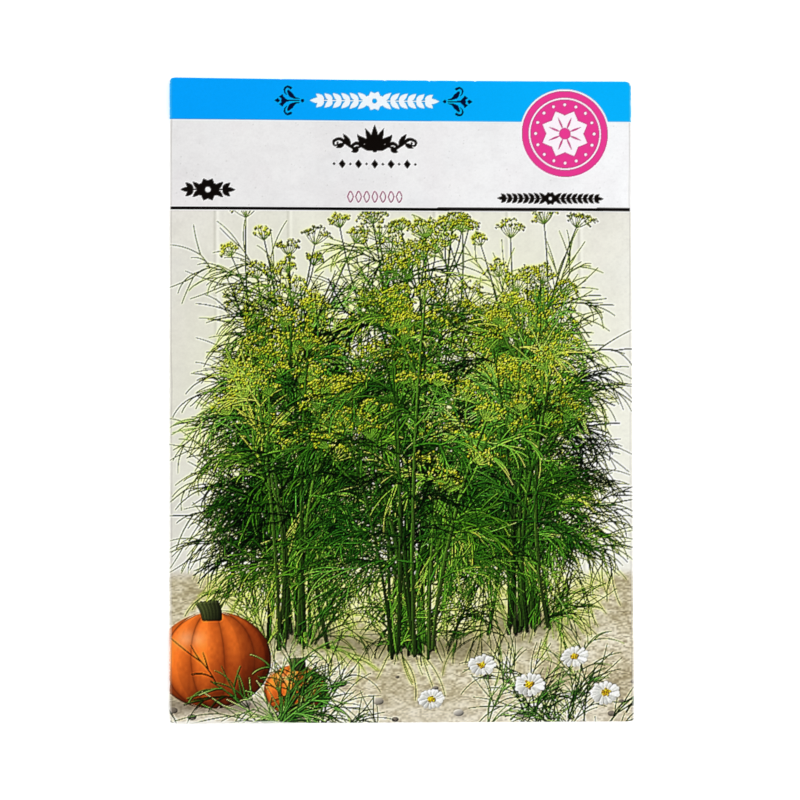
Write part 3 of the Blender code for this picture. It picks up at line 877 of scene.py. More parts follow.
def header_ground(canvas):
    """Pale grey stock above the picture, with faint specks, then the blue band and the black rule.

    Stock and band are painted lighter towards the right: painted light, as if it fell more strongly there.
    """
    across, along = canvas.places()
    along += askew(across)
    share = (across + CANVAS_X) / (2 * CANVAS_X)
    header = (along > RULE_FOOT - 0.12) * 1.0
    canvas.wash(header, tone(233, 232, 232))
    # Painted light: the stock gets lighter towards the right, where more light falls
    canvas.wash(header * share**1.7, tone(251, 252, 254))
    mottle(canvas, header, 0.13)
    draw = random.Random(SPECK_SEED)
    for _ in range(SPECKS):
        x = draw.uniform(-CANVAS_X, CANVAS_X)
        y = draw.uniform(RULE_TOP, BAND_FOOT)
        part, near_x, near_y = canvas.window(x, y, 0.3)
        spot = np.clip(1.0 - np.hypot(near_x, near_y) / draw.uniform(0.08, 0.22), 0.0, 1.0)
        part += (spot * draw.uniform(0.1, 0.35))[..., None] * (tone(176, 174, 170) - part)
    canvas.wash(((along > BAND_FOOT - HAIRLINE) & (along < BAND_FOOT)) * 0.75, tone(240, 250, 255))
    band = (along > BAND_FOOT) * 1.0
    canvas.wash(band, BAND_BLUE)
    # Painted light: the band too gets lighter towards the right
    canvas.wash(band * smooth(share), tone(0, 178, 255))
    inside = (across > 0.2 - SIDE_FOLD) & (across < SIDE_FOLD - 0.3)
    halo = (np.abs(along - (RULE_TOP + RULE_FOOT) / 2) < 0.42) & inside
    canvas.wash(halo * 0.7, tone(250, 246, 242))
    canvas.wash(((along < RULE_TOP) & (along > RULE_FOOT) & inside) * 1.0, tone(11, 5, 3))


def ring(x, y, reach, count, ahead):
    """Even places round a middle, with their headings, turned ahead by a share of a step."""
    for k in range(count):
        heading = 2 * math.pi * (k + ahead) / count
        yield x + reach * math.cos(heading), y + reach * math.sin(heading), heading


def roundel(canvas, x, y, radius):
    """A pink disc with a white line round it and a white rosette in it."""
    pink = tone(234, 58, 146)
    white = tone(254, 244, 252)
    disc(canvas, x, y, radius + 0.32, white)
    disc(canvas, x, y, radius, pink)
    disc(canvas, x, y, radius * 0.84, white)
    disc(canvas, x, y, radius * 0.84 - 0.3, pink)
    for at_x, at_y, _ in ring(x, y, radius * 0.68, 16, 0.0):
        disc(canvas, at_x, at_y, 0.26, white)
    rosette(canvas, x, y, radius * 0.56, 8, white, pink)
    for at_x, at_y, heading in ring(x, y, 0.9, 8, 0.5):
        fill(canvas, leaf_shape(at_x, at_y, heading, radius * 0.3, 0.34), pink)


def ornaments(canvas):
    """The header's ornaments: garlands, a palmette, rows of diamonds and a roundel."""
    navy = tone(4, 16, 66)
    black = tone(28, 21, 17)
    white = tone(240, 246, 254)
    blue = tone(0, 168, 252)
    for x, tip, way in ((-22.7, -20.0, 1), (12.7, 10.0, -1)):
        fleuron(canvas, x, BAND_MIDDLE - askew(tip), way, navy)
    garland(canvas, HEADER_MIDDLE, BAND_MIDDLE, 11.6, 2.3, white, blue)
    palmette(canvas, HEADER_MIDDLE, 44.6, 4.4, black)
    for k in range(-5, 6):
        half_wide, half_high = (0.26, 0.26) if k % 2 else (0.62, 0.8)
        fill(canvas, diamond(HEADER_MIDDLE + MARK_STEP * k, 41.9, half_wide, half_high), black)
    pink = tone(178, 44, 102)
    for k in range(-3, 4):
        corners = diamond(HEADER_MIDDLE + MARK_STEP * k, 36.1, 0.5, 0.95)
        ribbon(canvas, corners + corners[:1], (0.18,) * 5, pink)
    garland(canvas, -34.5, 37.2, 4.9, 2.1, black, tone(240, 240, 240), 1.0)
    garland(canvas, 26.6, 36.0, 9.6, 1.55, black, tone(246, 246, 248))
    roundel(canvas, 29.25, 47.6, 7.75)


def fold_lines(canvas):
    """Each side fold shows as a pale strip, partly rubbed ink and partly a painted highlight where the
    rounded fold catches the light, with a fine grey line of painted shade where the paper is creased on its
    inner side.
    """
    across, along = canvas.places()
    sway = (clouds(canvas, 4.0, 7.0, 24) - 0.5) * 0.12
    for edge, wide, crease_shade in ((-SIDE_FOLD, 0.30, 0.38), (SIDE_FOLD, 0.34, 0.30)):
        inward = (across - edge) * (1.0 if edge < 0 else -1.0) + sway
        blue = (along > BAND_FOOT) * 1.0
        strip = smooth((wide - np.abs(inward)) / 0.12 + 0.5)
        patchy = 0.35 + 0.65 * clouds(canvas, 1.0, 5.0, 25)
        # Pale strip: partly rubbed ink, partly a painted highlight on the rounded fold
        canvas.wash(strip * patchy * (0.62 - 0.36 * blue), tone(238, 236, 231))
        # Painted shade: a fine grey line where the paper is creased
        line = np.exp(-(((inward - wide - 0.05) / 0.07) ** 2)) * (0.5 + 0.5 * clouds(canvas, 2.0, 9.0, 26))
        canvas.wash(line * crease_shade * (1.0 - 0.6 * blue), tone(132, 122, 114))


def short_print(canvas):
    """Where the printed image stops a little short of the bottom fold and bare paper shows."""
    across, along = canvas.places()
    stop = 0.42 * smooth((-14.0 - across) / 12.0) + (clouds(canvas, 1.2, 9.0, 27) - 0.5) * 0.16 - END_FOLD
    canvas.wash(smooth((stop - along) / 0.14 + 0.5) * (along < 1.2 - END_FOLD) * 0.8, tone(240, 238, 232))


def wear_and_fold_shade(canvas):
    """Where handling has rubbed ink off: flecks along the folds, more at the corners and the top fold.

    First the side folds get their pale strips, partly painted highlight, and their lines of painted shade.
    """
    # Painted highlight and painted shade along the side folds
    fold_lines(canvas)
    short_print(canvas)
    across, along = canvas.places()
    to_side = np.abs(np.abs(across) - SIDE_FOLD)
    to_end = np.abs(np.abs(along) - END_FOLD)
    corner = np.exp(-((np.hypot(to_side, to_end) / 1.4) ** 2))
    side = np.exp(-((to_side / 0.2) ** 2))
    end = np.exp(-((to_end / 0.2) ** 2))
    strength = np.maximum(side * 0.56, end * 0.5) + corner * 0.34
    rough = 0.0
    for cell, share, seed in ((0.35, 0.5, 21), (1.7, 0.3, 22), (9.0, 0.2, 23)):
        rough = rough + clouds(canvas, cell, cell, seed) * share
    canvas.wash(smooth((strength - rough) * 5.0) * 0.85, BARE_PAPER)


# The paper's own mesh: its steps where it is printed, where it isn't, on its inner face and round a fold
PRINTED_STEP = 0.1334 * MM
PLAIN_STEP = 0.9 * MM
EDGE_STEP = 0.25 * MM
INNER_STEP = 1.1 * MM
FOLD_TURNS = 12
MARGIN = BLEED * MM

# How the paper has aged: worn corners, a top fold that isn't quite straight, nicks and slow waves
UPPER_CORNER = 0.9 * MM
LOWER_CORNER = 0.3 * MM
HOLLOW_TOP = 0.16 * MM
HOLLOW_REACH = 12 * MM
NICKS = ((-3.0, 0.10), (5.0, 0.16), (9.9, 0.10), (13.2, 0.13), (-21.5, 0.07))
WAVE = 0.05 * MM
SEED_DENT = 0.12 * MM


def lift(y):
    """How far the closing flaps under the back panel raise the sheet above them."""
    free_edge = HALF_HEIGHT - np.where(y > 0, TOP_FLAP, BOTTOM_FLAP)
    return LAYER * smooth((np.abs(y) - free_edge + RAMP) / RAMP)


def crown(x, y):
    """How far the front stands above its own edges."""
    across = 1.0 - np.abs(x / HALF_WIDTH) ** 6
    puff = PUFF * (1.0 - np.abs(y / HALF_HEIGHT) ** 4)
    swell = SWELL * np.exp(-(((y - SWELL_MIDDLE) / SWELL_REACH) ** 2))
    end = 1.0 - np.abs(y / HALF_HEIGHT) ** 12
    return across * (puff + swell * end)


def round_fold(distance, reach, radius):
    """How far out a point of the sheet lies once it is folded, and how far it has dropped."""
    start = reach - radius
    turn = np.clip((distance - start) / radius, 0.0, math.pi)
    past = np.maximum(distance - start - math.pi * radius, 0.0)
    out = np.where(distance < start, distance, start + radius * np.sin(turn) - past)
    return out, radius * (1.0 - np.cos(turn))


def folded(across, along):
    """Where points of the flat blank lie once the sheet is folded."""
    radius = np.where(across < 0, LEFT_RADIUS, RIGHT_RADIUS)
    out_x, drop_x = round_fold(np.abs(across), REACH_X, radius)
    out_y, drop_y = round_fold(np.abs(along), REACH_Y, END_RADIUS)
    past_x = np.maximum((out_x - REACH_X) / radius + 1.0, 0.0)
    past_y = np.maximum((out_y - REACH_Y) / END_RADIUS + 1.0, 0.0)
    out_x = out_x - radius * past_x * (1.0 - np.sqrt(1.0 - past_y**2 / 2))
    out_y = out_y - END_RADIUS * past_y * (1.0 - np.sqrt(1.0 - past_x**2 / 2))
    drop = (drop_x**3 + drop_y**3) ** (1 / 3)
    x = np.where(across < 0, -out_x, out_x)
    y = np.where(along < 0, -out_y, out_y)
    on_front = (1.0 - drop_x / (2.0 * radius)) * (1.0 - drop_y / (2.0 * END_RADIUS))
    rise = crown(x, y) + waves(x, y)
    z = FRONT_LEVEL + lift(y) + rise * on_front - drop
    return worn(x, y, z)


def waves(x, y):
    """Slow waves of the front panel, which its folds hold straight."""
    held = (1.0 - np.abs(x / HALF_WIDTH) ** 8) * (1.0 - np.abs(y / HALF_HEIGHT) ** 10)
    slow = np.sin(x / MM / 9.1 + 1.3) * np.cos(y / MM / 13.7 + 0.4)
    quick = 0.6 * np.sin(x / MM / 5.3 - y / MM / 7.9)
    return WAVE * (slow + quick) * held


def worn(x, y, z):
    """Round the corners in plan, let the top fold hollow a little and press its nicks in."""
    corner = np.where(y > 0, UPPER_CORNER, LOWER_CORNER)
    in_x = np.clip((np.abs(x) - HALF_WIDTH + corner) / corner, 0.0, 1.0)
    in_y = np.clip((np.abs(y) - HALF_HEIGHT + corner) / corner, 0.0, 1.0)
    x = x - np.sign(x) * corner * in_x * (1.0 - np.sqrt(1.0 - in_y**2 / 2))
    y = y - np.sign(y) * corner * in_y * (1.0 - np.sqrt(1.0 - in_x**2 / 2))
    near_top = smooth((y - HALF_HEIGHT + HOLLOW_REACH) / HOLLOW_REACH)
    y = y - HOLLOW_TOP * near_top * (1.0 - (x / HALF_WIDTH) ** 2)
    at_fold = smooth((y - HALF_HEIGHT + 0.8 * MM) / (0.6 * MM))
    for place, depth in NICKS:
        y = y - depth * MM * at_fold * np.exp(-(((x / MM - place) / 0.22) ** 2))
    return x, y, z


def flap_scale(past, length):
    """How much narrower a closing flap is at this distance past its fold."""
    into_corner = np.clip(past - (length - FLAP_CORNER), 0.0, FLAP_CORNER)
    narrowed = FLAP_SLANT * np.clip(past / length, 0.0, 1.0)
    narrowed = narrowed + FLAP_CORNER - np.sqrt(FLAP_CORNER**2 - into_corner**2)
    return 1.0 - narrowed / (HALF_WIDTH - FLAP_INSET)


class Blank:
    """The cut sheet before it is folded: its grid lines, and which of its cells are paper."""

    def __init__(self):
        left = self.fold(REACH_X, LEFT_RADIUS)
        right = self.fold(REACH_X, RIGHT_RADIUS)
        end = self.fold(REACH_Y, END_RADIUS)
        self.left_edge, self.right_edge, self.end_edge = left[1], right[1], end[1]
        self.flap_half = HALF_WIDTH - FLAP_INSET
        self.back_half = HALF_HEIGHT - BACK_SHORT
        self.side_half = HALF_HEIGHT - SIDE_FLAP_INSET
        self.top_free = end[2] + TOP_FLAP - END_RADIUS
        self.bottom_free = end[2] + BOTTOM_FLAP - END_RADIUS
        back_free = left[2] + left[0] + HALF_WIDTH - BACK_FREE_EDGE
        side_free = right[2] + SIDE_FLAP - RIGHT_RADIUS
        left_turn, right_turn, end_turn = (
            math.pi * radius / FOLD_TURNS for radius in (LEFT_RADIUS, RIGHT_RADIUS, END_RADIUS)
        )
        plain = (INNER_STEP, PLAIN_STEP)
        edge = (INNER_STEP, EDGE_STEP)
        print_step = (INNER_STEP, PRINTED_STEP)
        corner = (FLAP_CORNER / 9, FLAP_CORNER / 9)
        self.columns, self.main_columns = self.lines(
            (-back_free, *plain),
            (-left[2] - MARGIN, *edge),
            (-left[2], 4 * left_turn, left_turn),
            (-left[0], *print_step),
            (-self.flap_half, *print_step),
            (self.flap_half, *print_step),
            (right[0], 4 * right_turn, right_turn),
            (right[2], *edge),
            (right[2] + MARGIN, *plain),
            (side_free, *plain),
        )
        self.rows, self.main_rows = self.lines(
            (-self.bottom_free, *corner),
            (-self.bottom_free + FLAP_CORNER, *plain),
            (-end[2] - MARGIN, *edge),
            (-end[2], 4 * end_turn, end_turn),
            (-end[0], *print_step),
            (-self.back_half, *print_step),
            (-self.side_half, *print_step),
            (self.side_half, *print_step),
            (self.back_half, *print_step),
            (end[0], 4 * end_turn, end_turn),
            (end[2], *edge),
            (end[2] + MARGIN, *plain),
            (self.top_free - FLAP_CORNER, *corner),
            (self.top_free, *corner),
        )

    @staticmethod
    def fold(reach, radius):
        """Distances along the sheet to a fold's start, its outermost line and its end."""
        start = reach - radius
        return start, start + math.pi * radius / 2, start + math.pi * radius

    @staticmethod
    def lines(*stops):
        """Even lines between stops, and which of them the inner face has too."""
        places = []
        main = []
        for (start, coarse, fine), (stop, _, _) in zip(stops, stops[1:]):
            cells = max(round((stop - start) / coarse), 1)
            each = max(round((stop - start) / cells / fine), 1)
            main += [len(places) + k * each for k in range(cells)]
            places += [start + (stop - start) * k / (cells * each) for k in range(cells * each)]
        return np.array(places + [stops[-1][0]]), np.array(main + [len(places)])

    def paper(self):
        """Which of the inner face's cells are paper, by column and row."""
        across = (self.columns[self.main_columns][1:] + self.columns[self.main_columns][:-1])[:, None] / 2
        along = (self.rows[self.main_rows][1:] + self.rows[self.main_rows][:-1])[None, :] / 2
        on_flap = (np.abs(across) < self.flap_half) | (np.abs(along) < self.end_edge)
        on_back = (across > -self.left_edge) | (np.abs(along) < self.back_half)
        on_side = (across < self.right_edge) | (np.abs(along) < self.side_half)
        return on_flap & on_back & on_side

    def cut(self, across, along):
        """Slant and round the ends of the flaps."""
        past_top = np.maximum(along - self.end_edge, 0.0)
        past_bottom = np.maximum(-along - self.end_edge, 0.0)
        past_side = np.maximum(across - self.right_edge, 0.0)
        scale = np.where(
            along > 0,
            flap_scale(past_top, self.top_free - self.end_edge),
            flap_scale(past_bottom, self.bottom_free - self.end_edge),
        )
        slant = 1.0 - SIDE_FLAP_SLANT * np.minimum(past_side / SIDE_FLAP, 1.0) / self.side_half
        return np.where(past_side > 0, across, across * scale), along * slant


def sheet_faces(across, along, blank, dents):
    """Points of the sheet's outer and inner faces."""
    step = 0.01 * MM

    def at(shift_x, shift_y):
        return np.stack(folded(*blank.cut(across + shift_x, along + shift_y)), axis=-1)

    middle = at(0.0, 0.0)
    ahead = at(step, 0.0) - at(-step, 0.0)
    above = at(0.0, step) - at(0.0, -step)
    normal = np.cross(ahead, above)
    normal /= np.linalg.norm(normal, axis=-1, keepdims=True)
    middle[..., 2] += dents
    return middle + normal * PAPER / 2, middle - normal * PAPER / 2


def seed_dents(across, along, places):
    """How far the seeds that lie near the front press it out."""
    dents = np.zeros((len(across), len(along)))
    for x, y, z, _ in places:
        room = float(pocket_roof(x, y)) - z - SEED_BACK
        height = SEED_DENT * float(smooth(1.0 - room / (0.55 * MM)))
        columns = np.nonzero(np.abs(across - x) < 4 * MM)[0]
        rows = np.nonzero(np.abs(along - y) < 4 * MM)[0]
        if height <= 0.0 or len(columns) == 0 or len(rows) == 0:
            continue
        gap = (across[columns] - x)[:, None] ** 2 + (along[rows] - y)[None, :] ** 2
        part = np.ix_(columns, rows)
        dents[part] = np.maximum(dents[part], height * np.exp(-gap / (1.25 * MM) ** 2))
    return dents


# The back's print: how far it reaches to each side, and its rows of small print by length, 0 for a gap
BACK_REACH = 31.0
BACK_ROWS = (62, 60, 61, 34, 0, 62, 59, 62, 61, 47, 0, 61, 62, 60, 62, 58, 61, 22)
BACK_TOP_ROW = 27.4
BACK_ROW_STEP = 3.5


def back_print(blank):
    """A plain back: a blue heading bar, green rules, and rows of grey lines as generic small print."""
    x = ((blank.columns + blank.left_edge + HALF_WIDTH) / MM)[None, :]
    y = (blank.rows / MM)[:, None]
    ink = np.tile(BARE_PAPER, (y.size, x.size, 1))

    def bar(middle, high, start, end, colour):
        tall = smooth((high / 2 - np.abs(y - middle)) / 0.14 + 0.5)
        wide = smooth((x - start) / 0.9 + 0.5) * smooth((end - x) / 0.9 + 0.5)
        ink[:] += (tall * wide)[..., None] * (colour - ink)

    bar(35.6, 4.4, -BACK_REACH, BACK_REACH, BAND_BLUE)
    for middle in (31.6, -37.6):
        bar(middle, 0.5, -BACK_REACH, BACK_REACH, tone(62, 128, 50))
    for row, length in enumerate(BACK_ROWS):
        if length:
            middle = BACK_TOP_ROW - BACK_ROW_STEP * row
            bar(middle, 0.62, -BACK_REACH, length - BACK_REACH, tone(146, 148, 144))
    return ink


def print_on(blank, canvas):
    """The printed colour at each crossing of the blank's lines, as light that the paper gives back."""
    colours = canvas.ink
    for axis, places, reach, size in (
        (0, blank.rows, CANVAS_Y, canvas.high),
        (1, blank.columns, CANVAS_X, canvas.wide),
    ):
        dots = (places / MM + reach) * DOTS - 0.5
        first = between(colours, np.clip(dots - 0.5, 0.0, size - 1.001), axis)
        second = between(colours, np.clip(dots + 0.5, 0.0, size - 1.001), axis)
        colours = (first + second) / 2
    in_rows = np.abs(blank.rows)[:, None] < CANVAS_Y * MM
    in_columns = np.abs(blank.columns)[None, :] < CANVAS_X * MM
    printed = in_rows & in_columns
    front = crisp(as_light(np.clip(colours, 0.0, 1.0)))
    return np.where(printed[..., None], front, as_light(back_print(blank))).transpose(1, 0, 2)


def crisp(light):
    """Sharpen the print as its press plates were, so that fine threads stay clear on the paper."""
    return np.clip(sharper(light, 1, 1, CRISPNESS, INK_DEPTH), 0.0005, 0.97)


def as_light(colour):
    """A colour as it looks, turned into the share of light it gives back."""
    return np.where(colour <= 0.04045, colour / 12.92, ((colour + 0.055) / 1.055) ** 2.4)


def map_line(places, inner, share):
    """A blank's line laid along one side of its texture map: the print takes most of it."""
    first, last = places[0], places[-1]
    stops = (first, -inner, inner, last)
    before = (1.0 - share) * (-inner - first) / ((-inner - first) + (last - inner))
    return np.interp(places, stops, (0.0, before, before + share, 1.0))


def envelope_mesh(blank, canvas, places):
    """The folded sheet as one closed body: a fine outer face, a coarser inner one, and its cut edge."""
    across, along = blank.columns, blank.rows
    grid_x, grid_y = np.meshgrid(across, along, indexing="ij")
    outer, inner = sheet_faces(grid_x, grid_y, blank, seed_dents(across, along, places))
    colours = print_on(blank, canvas)
    paper = blank.paper()
    cells_x, cells_y = np.diff(blank.main_columns), np.diff(blank.main_rows)
    fine = np.repeat(np.repeat(paper, cells_x, axis=0), cells_y, axis=1)

    used = np.zeros(grid_x.shape, dtype=bool)
    for shift_x in (0, 1):
        for shift_y in (0, 1):
            used[shift_x : shift_x + fine.shape[0], shift_y : shift_y + fine.shape[1]] |= fine
    outer_number = np.cumsum(used).reshape(used.shape) - 1
    main = np.ix_(blank.main_columns, blank.main_rows)
    used_inner = used[main]
    inner_number = np.cumsum(used_inner).reshape(used_inner.shape) - 1 + used.sum()
    points = np.concatenate((outer[used], inner[main][used_inner]))
    inks = np.concatenate((colours[used], np.tile(as_light(BARE_PAPER), (used_inner.sum(), 1))))

    map_x = map_line(across, CANVAS_X * MM, 0.80) * 0.90
    map_y = map_line(along, CANVAS_Y * MM, 0.92)
    outer_map = np.stack(np.meshgrid(map_x, map_y, indexing="ij"), axis=-1)
    inner_x = 0.91 + map_x[blank.main_columns] * 0.1
    inner_map = np.stack(np.meshgrid(inner_x, map_y[blank.main_rows], indexing="ij"), axis=-1)

    outer_faces, outer_uv = grid_faces(fine, outer_number, outer_map, 1)
    inner_faces, inner_uv = grid_faces(paper, inner_number, inner_map, -1)
    rim_faces, rim_uv = rim(blank, paper, outer_number, inner_number, outer_map)
    faces = (outer_faces, inner_faces, np.concatenate(rim_faces))
    loops = np.concatenate([part.ravel() for part in faces])
    corners = np.concatenate((outer_uv, inner_uv, np.concatenate(rim_uv)))
    quads = np.full(len(outer_faces) + len(inner_faces), 4)
    sizes = np.concatenate((quads, [len(face) for face in rim_faces]))
    return write_mesh(points, inks, loops, sizes, corners)


def grid_faces(cells, numbers, places, way):
    """A face over each cell of a grid, with its corners' places on the texture map."""
    i, j = np.nonzero(cells)
    order = ((0, 0), (1, 0), (1, 1), (0, 1))[::way]
    faces = np.stack([numbers[i + a, j + b] for a, b in order], axis=1)
    return faces, np.stack([places[i + a, j + b] for a, b in order], axis=1).reshape(-1, 2)


def write_mesh(points, inks, loops, sizes, corners):
    """A mesh from its points and their ink, the corners of all its faces and how many each face has."""
    mesh = bpy.data.meshes.new("printed_envelope")
    mesh.vertices.add(len(points))
    mesh.vertices.foreach_set("co", points.astype(np.float32).ravel())
    mesh.loops.add(len(loops))
    mesh.loops.foreach_set("vertex_index", loops.astype(np.int32))
    mesh.polygons.add(len(sizes))
    mesh.polygons.foreach_set("loop_start", (np.cumsum(sizes) - sizes).astype(np.int32))
    mesh.update(calc_edges=True)
    mesh.uv_layers.new(name="OFBake").data.foreach_set("uv", corners.astype(np.float32).ravel())
    print_colours = mesh.attributes.new("print", "FLOAT_VECTOR", "POINT")
    print_colours.data.foreach_set("vector", inks.astype(np.float32).ravel())
    mesh.shade_smooth()
    mesh.set_sharp_from_angle(angle=math.radians(50))
    return mesh


def rim(blank, paper, outer_number, inner_number, outer_map):
    """Faces of the sheet's cut edge, each from one side of an inner cell to the outer face's points."""
    faces = []
    maps = []
    out = 0.004
    columns, rows = blank.main_columns, blank.main_rows
    padded = np.pad(paper, 1)
    for i, j in zip(*np.nonzero(paper)):
        left, right, low, high = columns[i], columns[i + 1], rows[j], rows[j + 1]
        span_x = range(left, right + 1)
        span_y = range(low, high + 1)
        sides = (
            ((i + 1, j), [(k, low) for k in reversed(span_x)], ((i, j), (i + 1, j)), (0, -out)),
            ((i + 1, j + 2), [(k, high) for k in span_x], ((i + 1, j + 1), (i, j + 1)), (0, out)),
            ((i, j + 1), [(left, k) for k in span_y], ((i, j + 1), (i, j)), (-out, 0)),
            ((i + 2, j + 1), [(right, k) for k in reversed(span_y)], ((i + 1, j), (i + 1, j + 1)), (out, 0)),
        )
        for neighbour, chain, ends, shift in sides:
            if padded[neighbour]:
                continue
            faces.append([outer_number[spot] for spot in chain] + [inner_number[spot] for spot in ends])
            beyond = [outer_map[chain[-1]] + shift, outer_map[chain[0]] + shift]
            maps.append(np.array([outer_map[spot] for spot in chain] + beyond))
    return faces, maps


# One seed and the heap of them in the pocket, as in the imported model
SEED_LENGTH = 4.0 * MM
SEED_WIDTH = 2.2 * MM
SEED_BACK = 0.5 * MM
SEED_BELLY = 0.25 * MM
SEED_RIDGE = 0.26
SEED_TAPER = 0.14
SEED_COUNT = 210
SEED_CLEARANCE = 0.06 * MM
HEAP_LEFT = -36.5 * MM
HEAP_RIGHT = 29.0 * MM
HEAP_LOW = -52.5 * MM
HEAP_HIGH = -17.0 * MM
HEAP_FALL = 0.45
HEAP_BEND = 2.4
RANDOM_SEED = 7
LEAST_HOLD = 0.5 * MM
MOST_HOLD = 0.75 * MM
MOST_TOUCH = 0.2 * MM
FLOOR_RISE = 0.05 * MM
UPPER_SHARE = 0.16
UPPER_OUT = (0.4, 0.7)
UPPER_RISE = (0.30 * MM, 0.42 * MM)
SEED_ROLL = math.radians(2)
SEED_PITCH = math.radians(1)


def seed_radius(heading, direction):
    """Half a seed's extent from its middle towards a direction, for a seed that points to heading."""
    turn = direction - heading
    return 1.0 / math.hypot(math.cos(turn) / (SEED_LENGTH / 2), math.sin(turn) / (SEED_WIDTH / 2))


def pocket_floor(y):
    """The lowest that a seed's belly may lie: on the back panel."""
    return BACK_LEVEL + PAPER / 2 + float(lift(y)) + SEED_CLEARANCE


def pocket_roof(x, y):
    """The highest that a seed's back may reach: under the front panel."""
    return FRONT_LEVEL - PAPER / 2 + float(lift(y)) + float(crown(x, y)) - SEED_CLEARANCE


def seed_fits(x, y, z, heading):
    """Whether the pocket leaves room for a seed here, tested along its ridge and at its ends."""
    back = ((0.0, SEED_BACK), (SEED_RIDGE, SEED_BACK), (-SEED_RIDGE, SEED_BACK))
    for share, height in back + ((0.5, 0.0), (-0.5, 0.0)):
        at_x = x + share * SEED_LENGTH * math.cos(heading)
        at_y = y + share * SEED_LENGTH * math.sin(heading)
        if z + height > pocket_roof(at_x, at_y):
            return False
    return True


def heap_density(x, y):
    """How likely a seed is to lie here: dense along the heap's lower side and thin at its top."""
    if not HEAP_LEFT < x < HEAP_RIGHT or y < HEAP_LOW:
        return 0.0
    middle = (HEAP_LEFT + HEAP_RIGHT) / 2
    half = (HEAP_RIGHT - HEAP_LEFT) / 2
    fallen = HEAP_FALL * abs((x - middle) / half) ** HEAP_BEND
    top = HEAP_LOW + (HEAP_HIGH - HEAP_LOW) * (1.0 - fallen)
    return max(1.0 - ((y - HEAP_LOW) / (top - HEAP_LOW)) ** 2, 0.0)


def overlap(first, second):
    """How far two seeds' plans run into each other along the line between their middles."""
    step_x = second[0] - first[0]
    step_y = second[1] - first[1]
    direction = math.atan2(step_y, step_x)
    reach = seed_radius(first[3], direction) + seed_radius(second[3], direction)
    return reach - math.hypot(step_x, step_y)


def seed_places():
    """Where the seeds lie and point to: each holds to one already there, and the last lie on others."""
    draw = random.Random(RANDOM_SEED)
    start_y = HEAP_LOW + 8 * MM
    lower = [((HEAP_LEFT + HEAP_RIGHT) / 2, start_y, pocket_floor(start_y) + SEED_BELLY, 0.3)]
    wanted_below = round(SEED_COUNT * (1.0 - UPPER_SHARE))
    while len(lower) < wanted_below:
        parent = draw.choice(lower)
        direction = draw.uniform(0.0, 2 * math.pi)
        heading = draw.uniform(0.0, 2 * math.pi)
        hold = draw.uniform(LEAST_HOLD, MOST_HOLD)
        away = seed_radius(parent[3], direction) + seed_radius(heading, direction) - hold
        x = parent[0] + away * math.cos(direction)
        y = parent[1] + away * math.sin(direction)
        candidate = (x, y, pocket_floor(y) + SEED_BELLY + draw.uniform(0.0, FLOOR_RISE), heading)
        if draw.random() > heap_density(x, y) or not seed_fits(*candidate):
            continue
        if all(other is parent or overlap(candidate, other) < MOST_TOUCH for other in lower):
            lower.append(candidate)
    upper = []
    while len(upper) < SEED_COUNT - wanted_below:
        parent = draw.choice(lower)
        heading = draw.uniform(0.0, 2 * math.pi)
        direction = draw.uniform(0.0, 2 * math.pi)
        away = draw.uniform(*UPPER_OUT) * seed_radius(parent[3], direction)
        x = parent[0] + away * math.cos(direction)
        y = parent[1] + away * math.sin(direction)
        candidate = (x, y, pocket_floor(y) + SEED_BELLY + draw.uniform(*UPPER_RISE), heading)
        if seed_fits(*candidate) and all(overlap(candidate, other) < 0.0 for other in upper):
            upper.append(candidate)
    return lower + upper


def seed_shape(rings, around):
    """A seed's points and faces: an oval with a winged edge, five ribs on its back and a flat belly."""
    points = []
    ribs = []
    for k in range(rings + 1):
        share = k / rings * 2.0 - 1.0
        end = math.sqrt(max(1.0 - abs(share) ** 2.4, 0.0))
        half = SEED_WIDTH / 2 * end * (1.0 - SEED_TAPER * share)
        for m in range(around):
            turn = 2 * math.pi * m / around
            rib = math.cos(6 * turn) if math.sin(turn) >= 0 else 0.0
            height = SEED_BACK if math.sin(turn) > 0 else SEED_BELLY
            wing = abs(math.cos(turn)) ** 8
            x = share * SEED_LENGTH / 2
            y = half * math.cos(turn) * (0.94 + 0.06 * wing)
            z = height * end * math.sin(turn) * (0.9 + 0.1 * rib) * (1.0 - 0.5 * wing)
            points.append((x, y, z))
            ribs.append(max(rib * (math.sin(turn) > 0.1), wing))
    faces = []
    for k in range(rings):
        for m in range(around):
            after = (m + 1) % around
            low, high = k * around, (k + 1) * around
            faces.append((low + m, high + m, high + after, low + after))
    faces.append(tuple(range(around)))
    faces.append(tuple(rings * around + m for m in reversed(range(around))))
    return np.array(points), np.array(ribs), faces


def seed_mesh(places):
    """Every seed in the pocket, in one mesh, with a tone of its own and its ribs marked."""
    shape, ribs, faces = seed_shape(12, 24)
    draw = random.Random(RANDOM_SEED + 1)
    points = []
    all_faces = []
    tones = []
    for number, (x, y, z, heading) in enumerate(places):
        roll = draw.uniform(-SEED_ROLL, SEED_ROLL)
        pitch = draw.uniform(-SEED_PITCH, SEED_PITCH)
        turn = Euler((roll, pitch, heading)).to_matrix()
        points.append(shape @ np.array(turn).T + (x, y, z))
        all_faces += [tuple(corner + number * len(shape) for corner in face) for face in faces]
        tones.append(np.full(len(shape), draw.random()))
    mesh = bpy.data.meshes.new("ribbed_seeds")
    mesh.from_pydata(np.concatenate(points).tolist(), [], all_faces)
    mesh.attributes.new("seed tone", "FLOAT", "POINT").data.foreach_set("value", np.concatenate(tones))
    mesh.attributes.new("rib", "FLOAT", "POINT").data.foreach_set("value", np.tile(ribs, len(places)))
    mesh.shade_smooth()
    return mesh


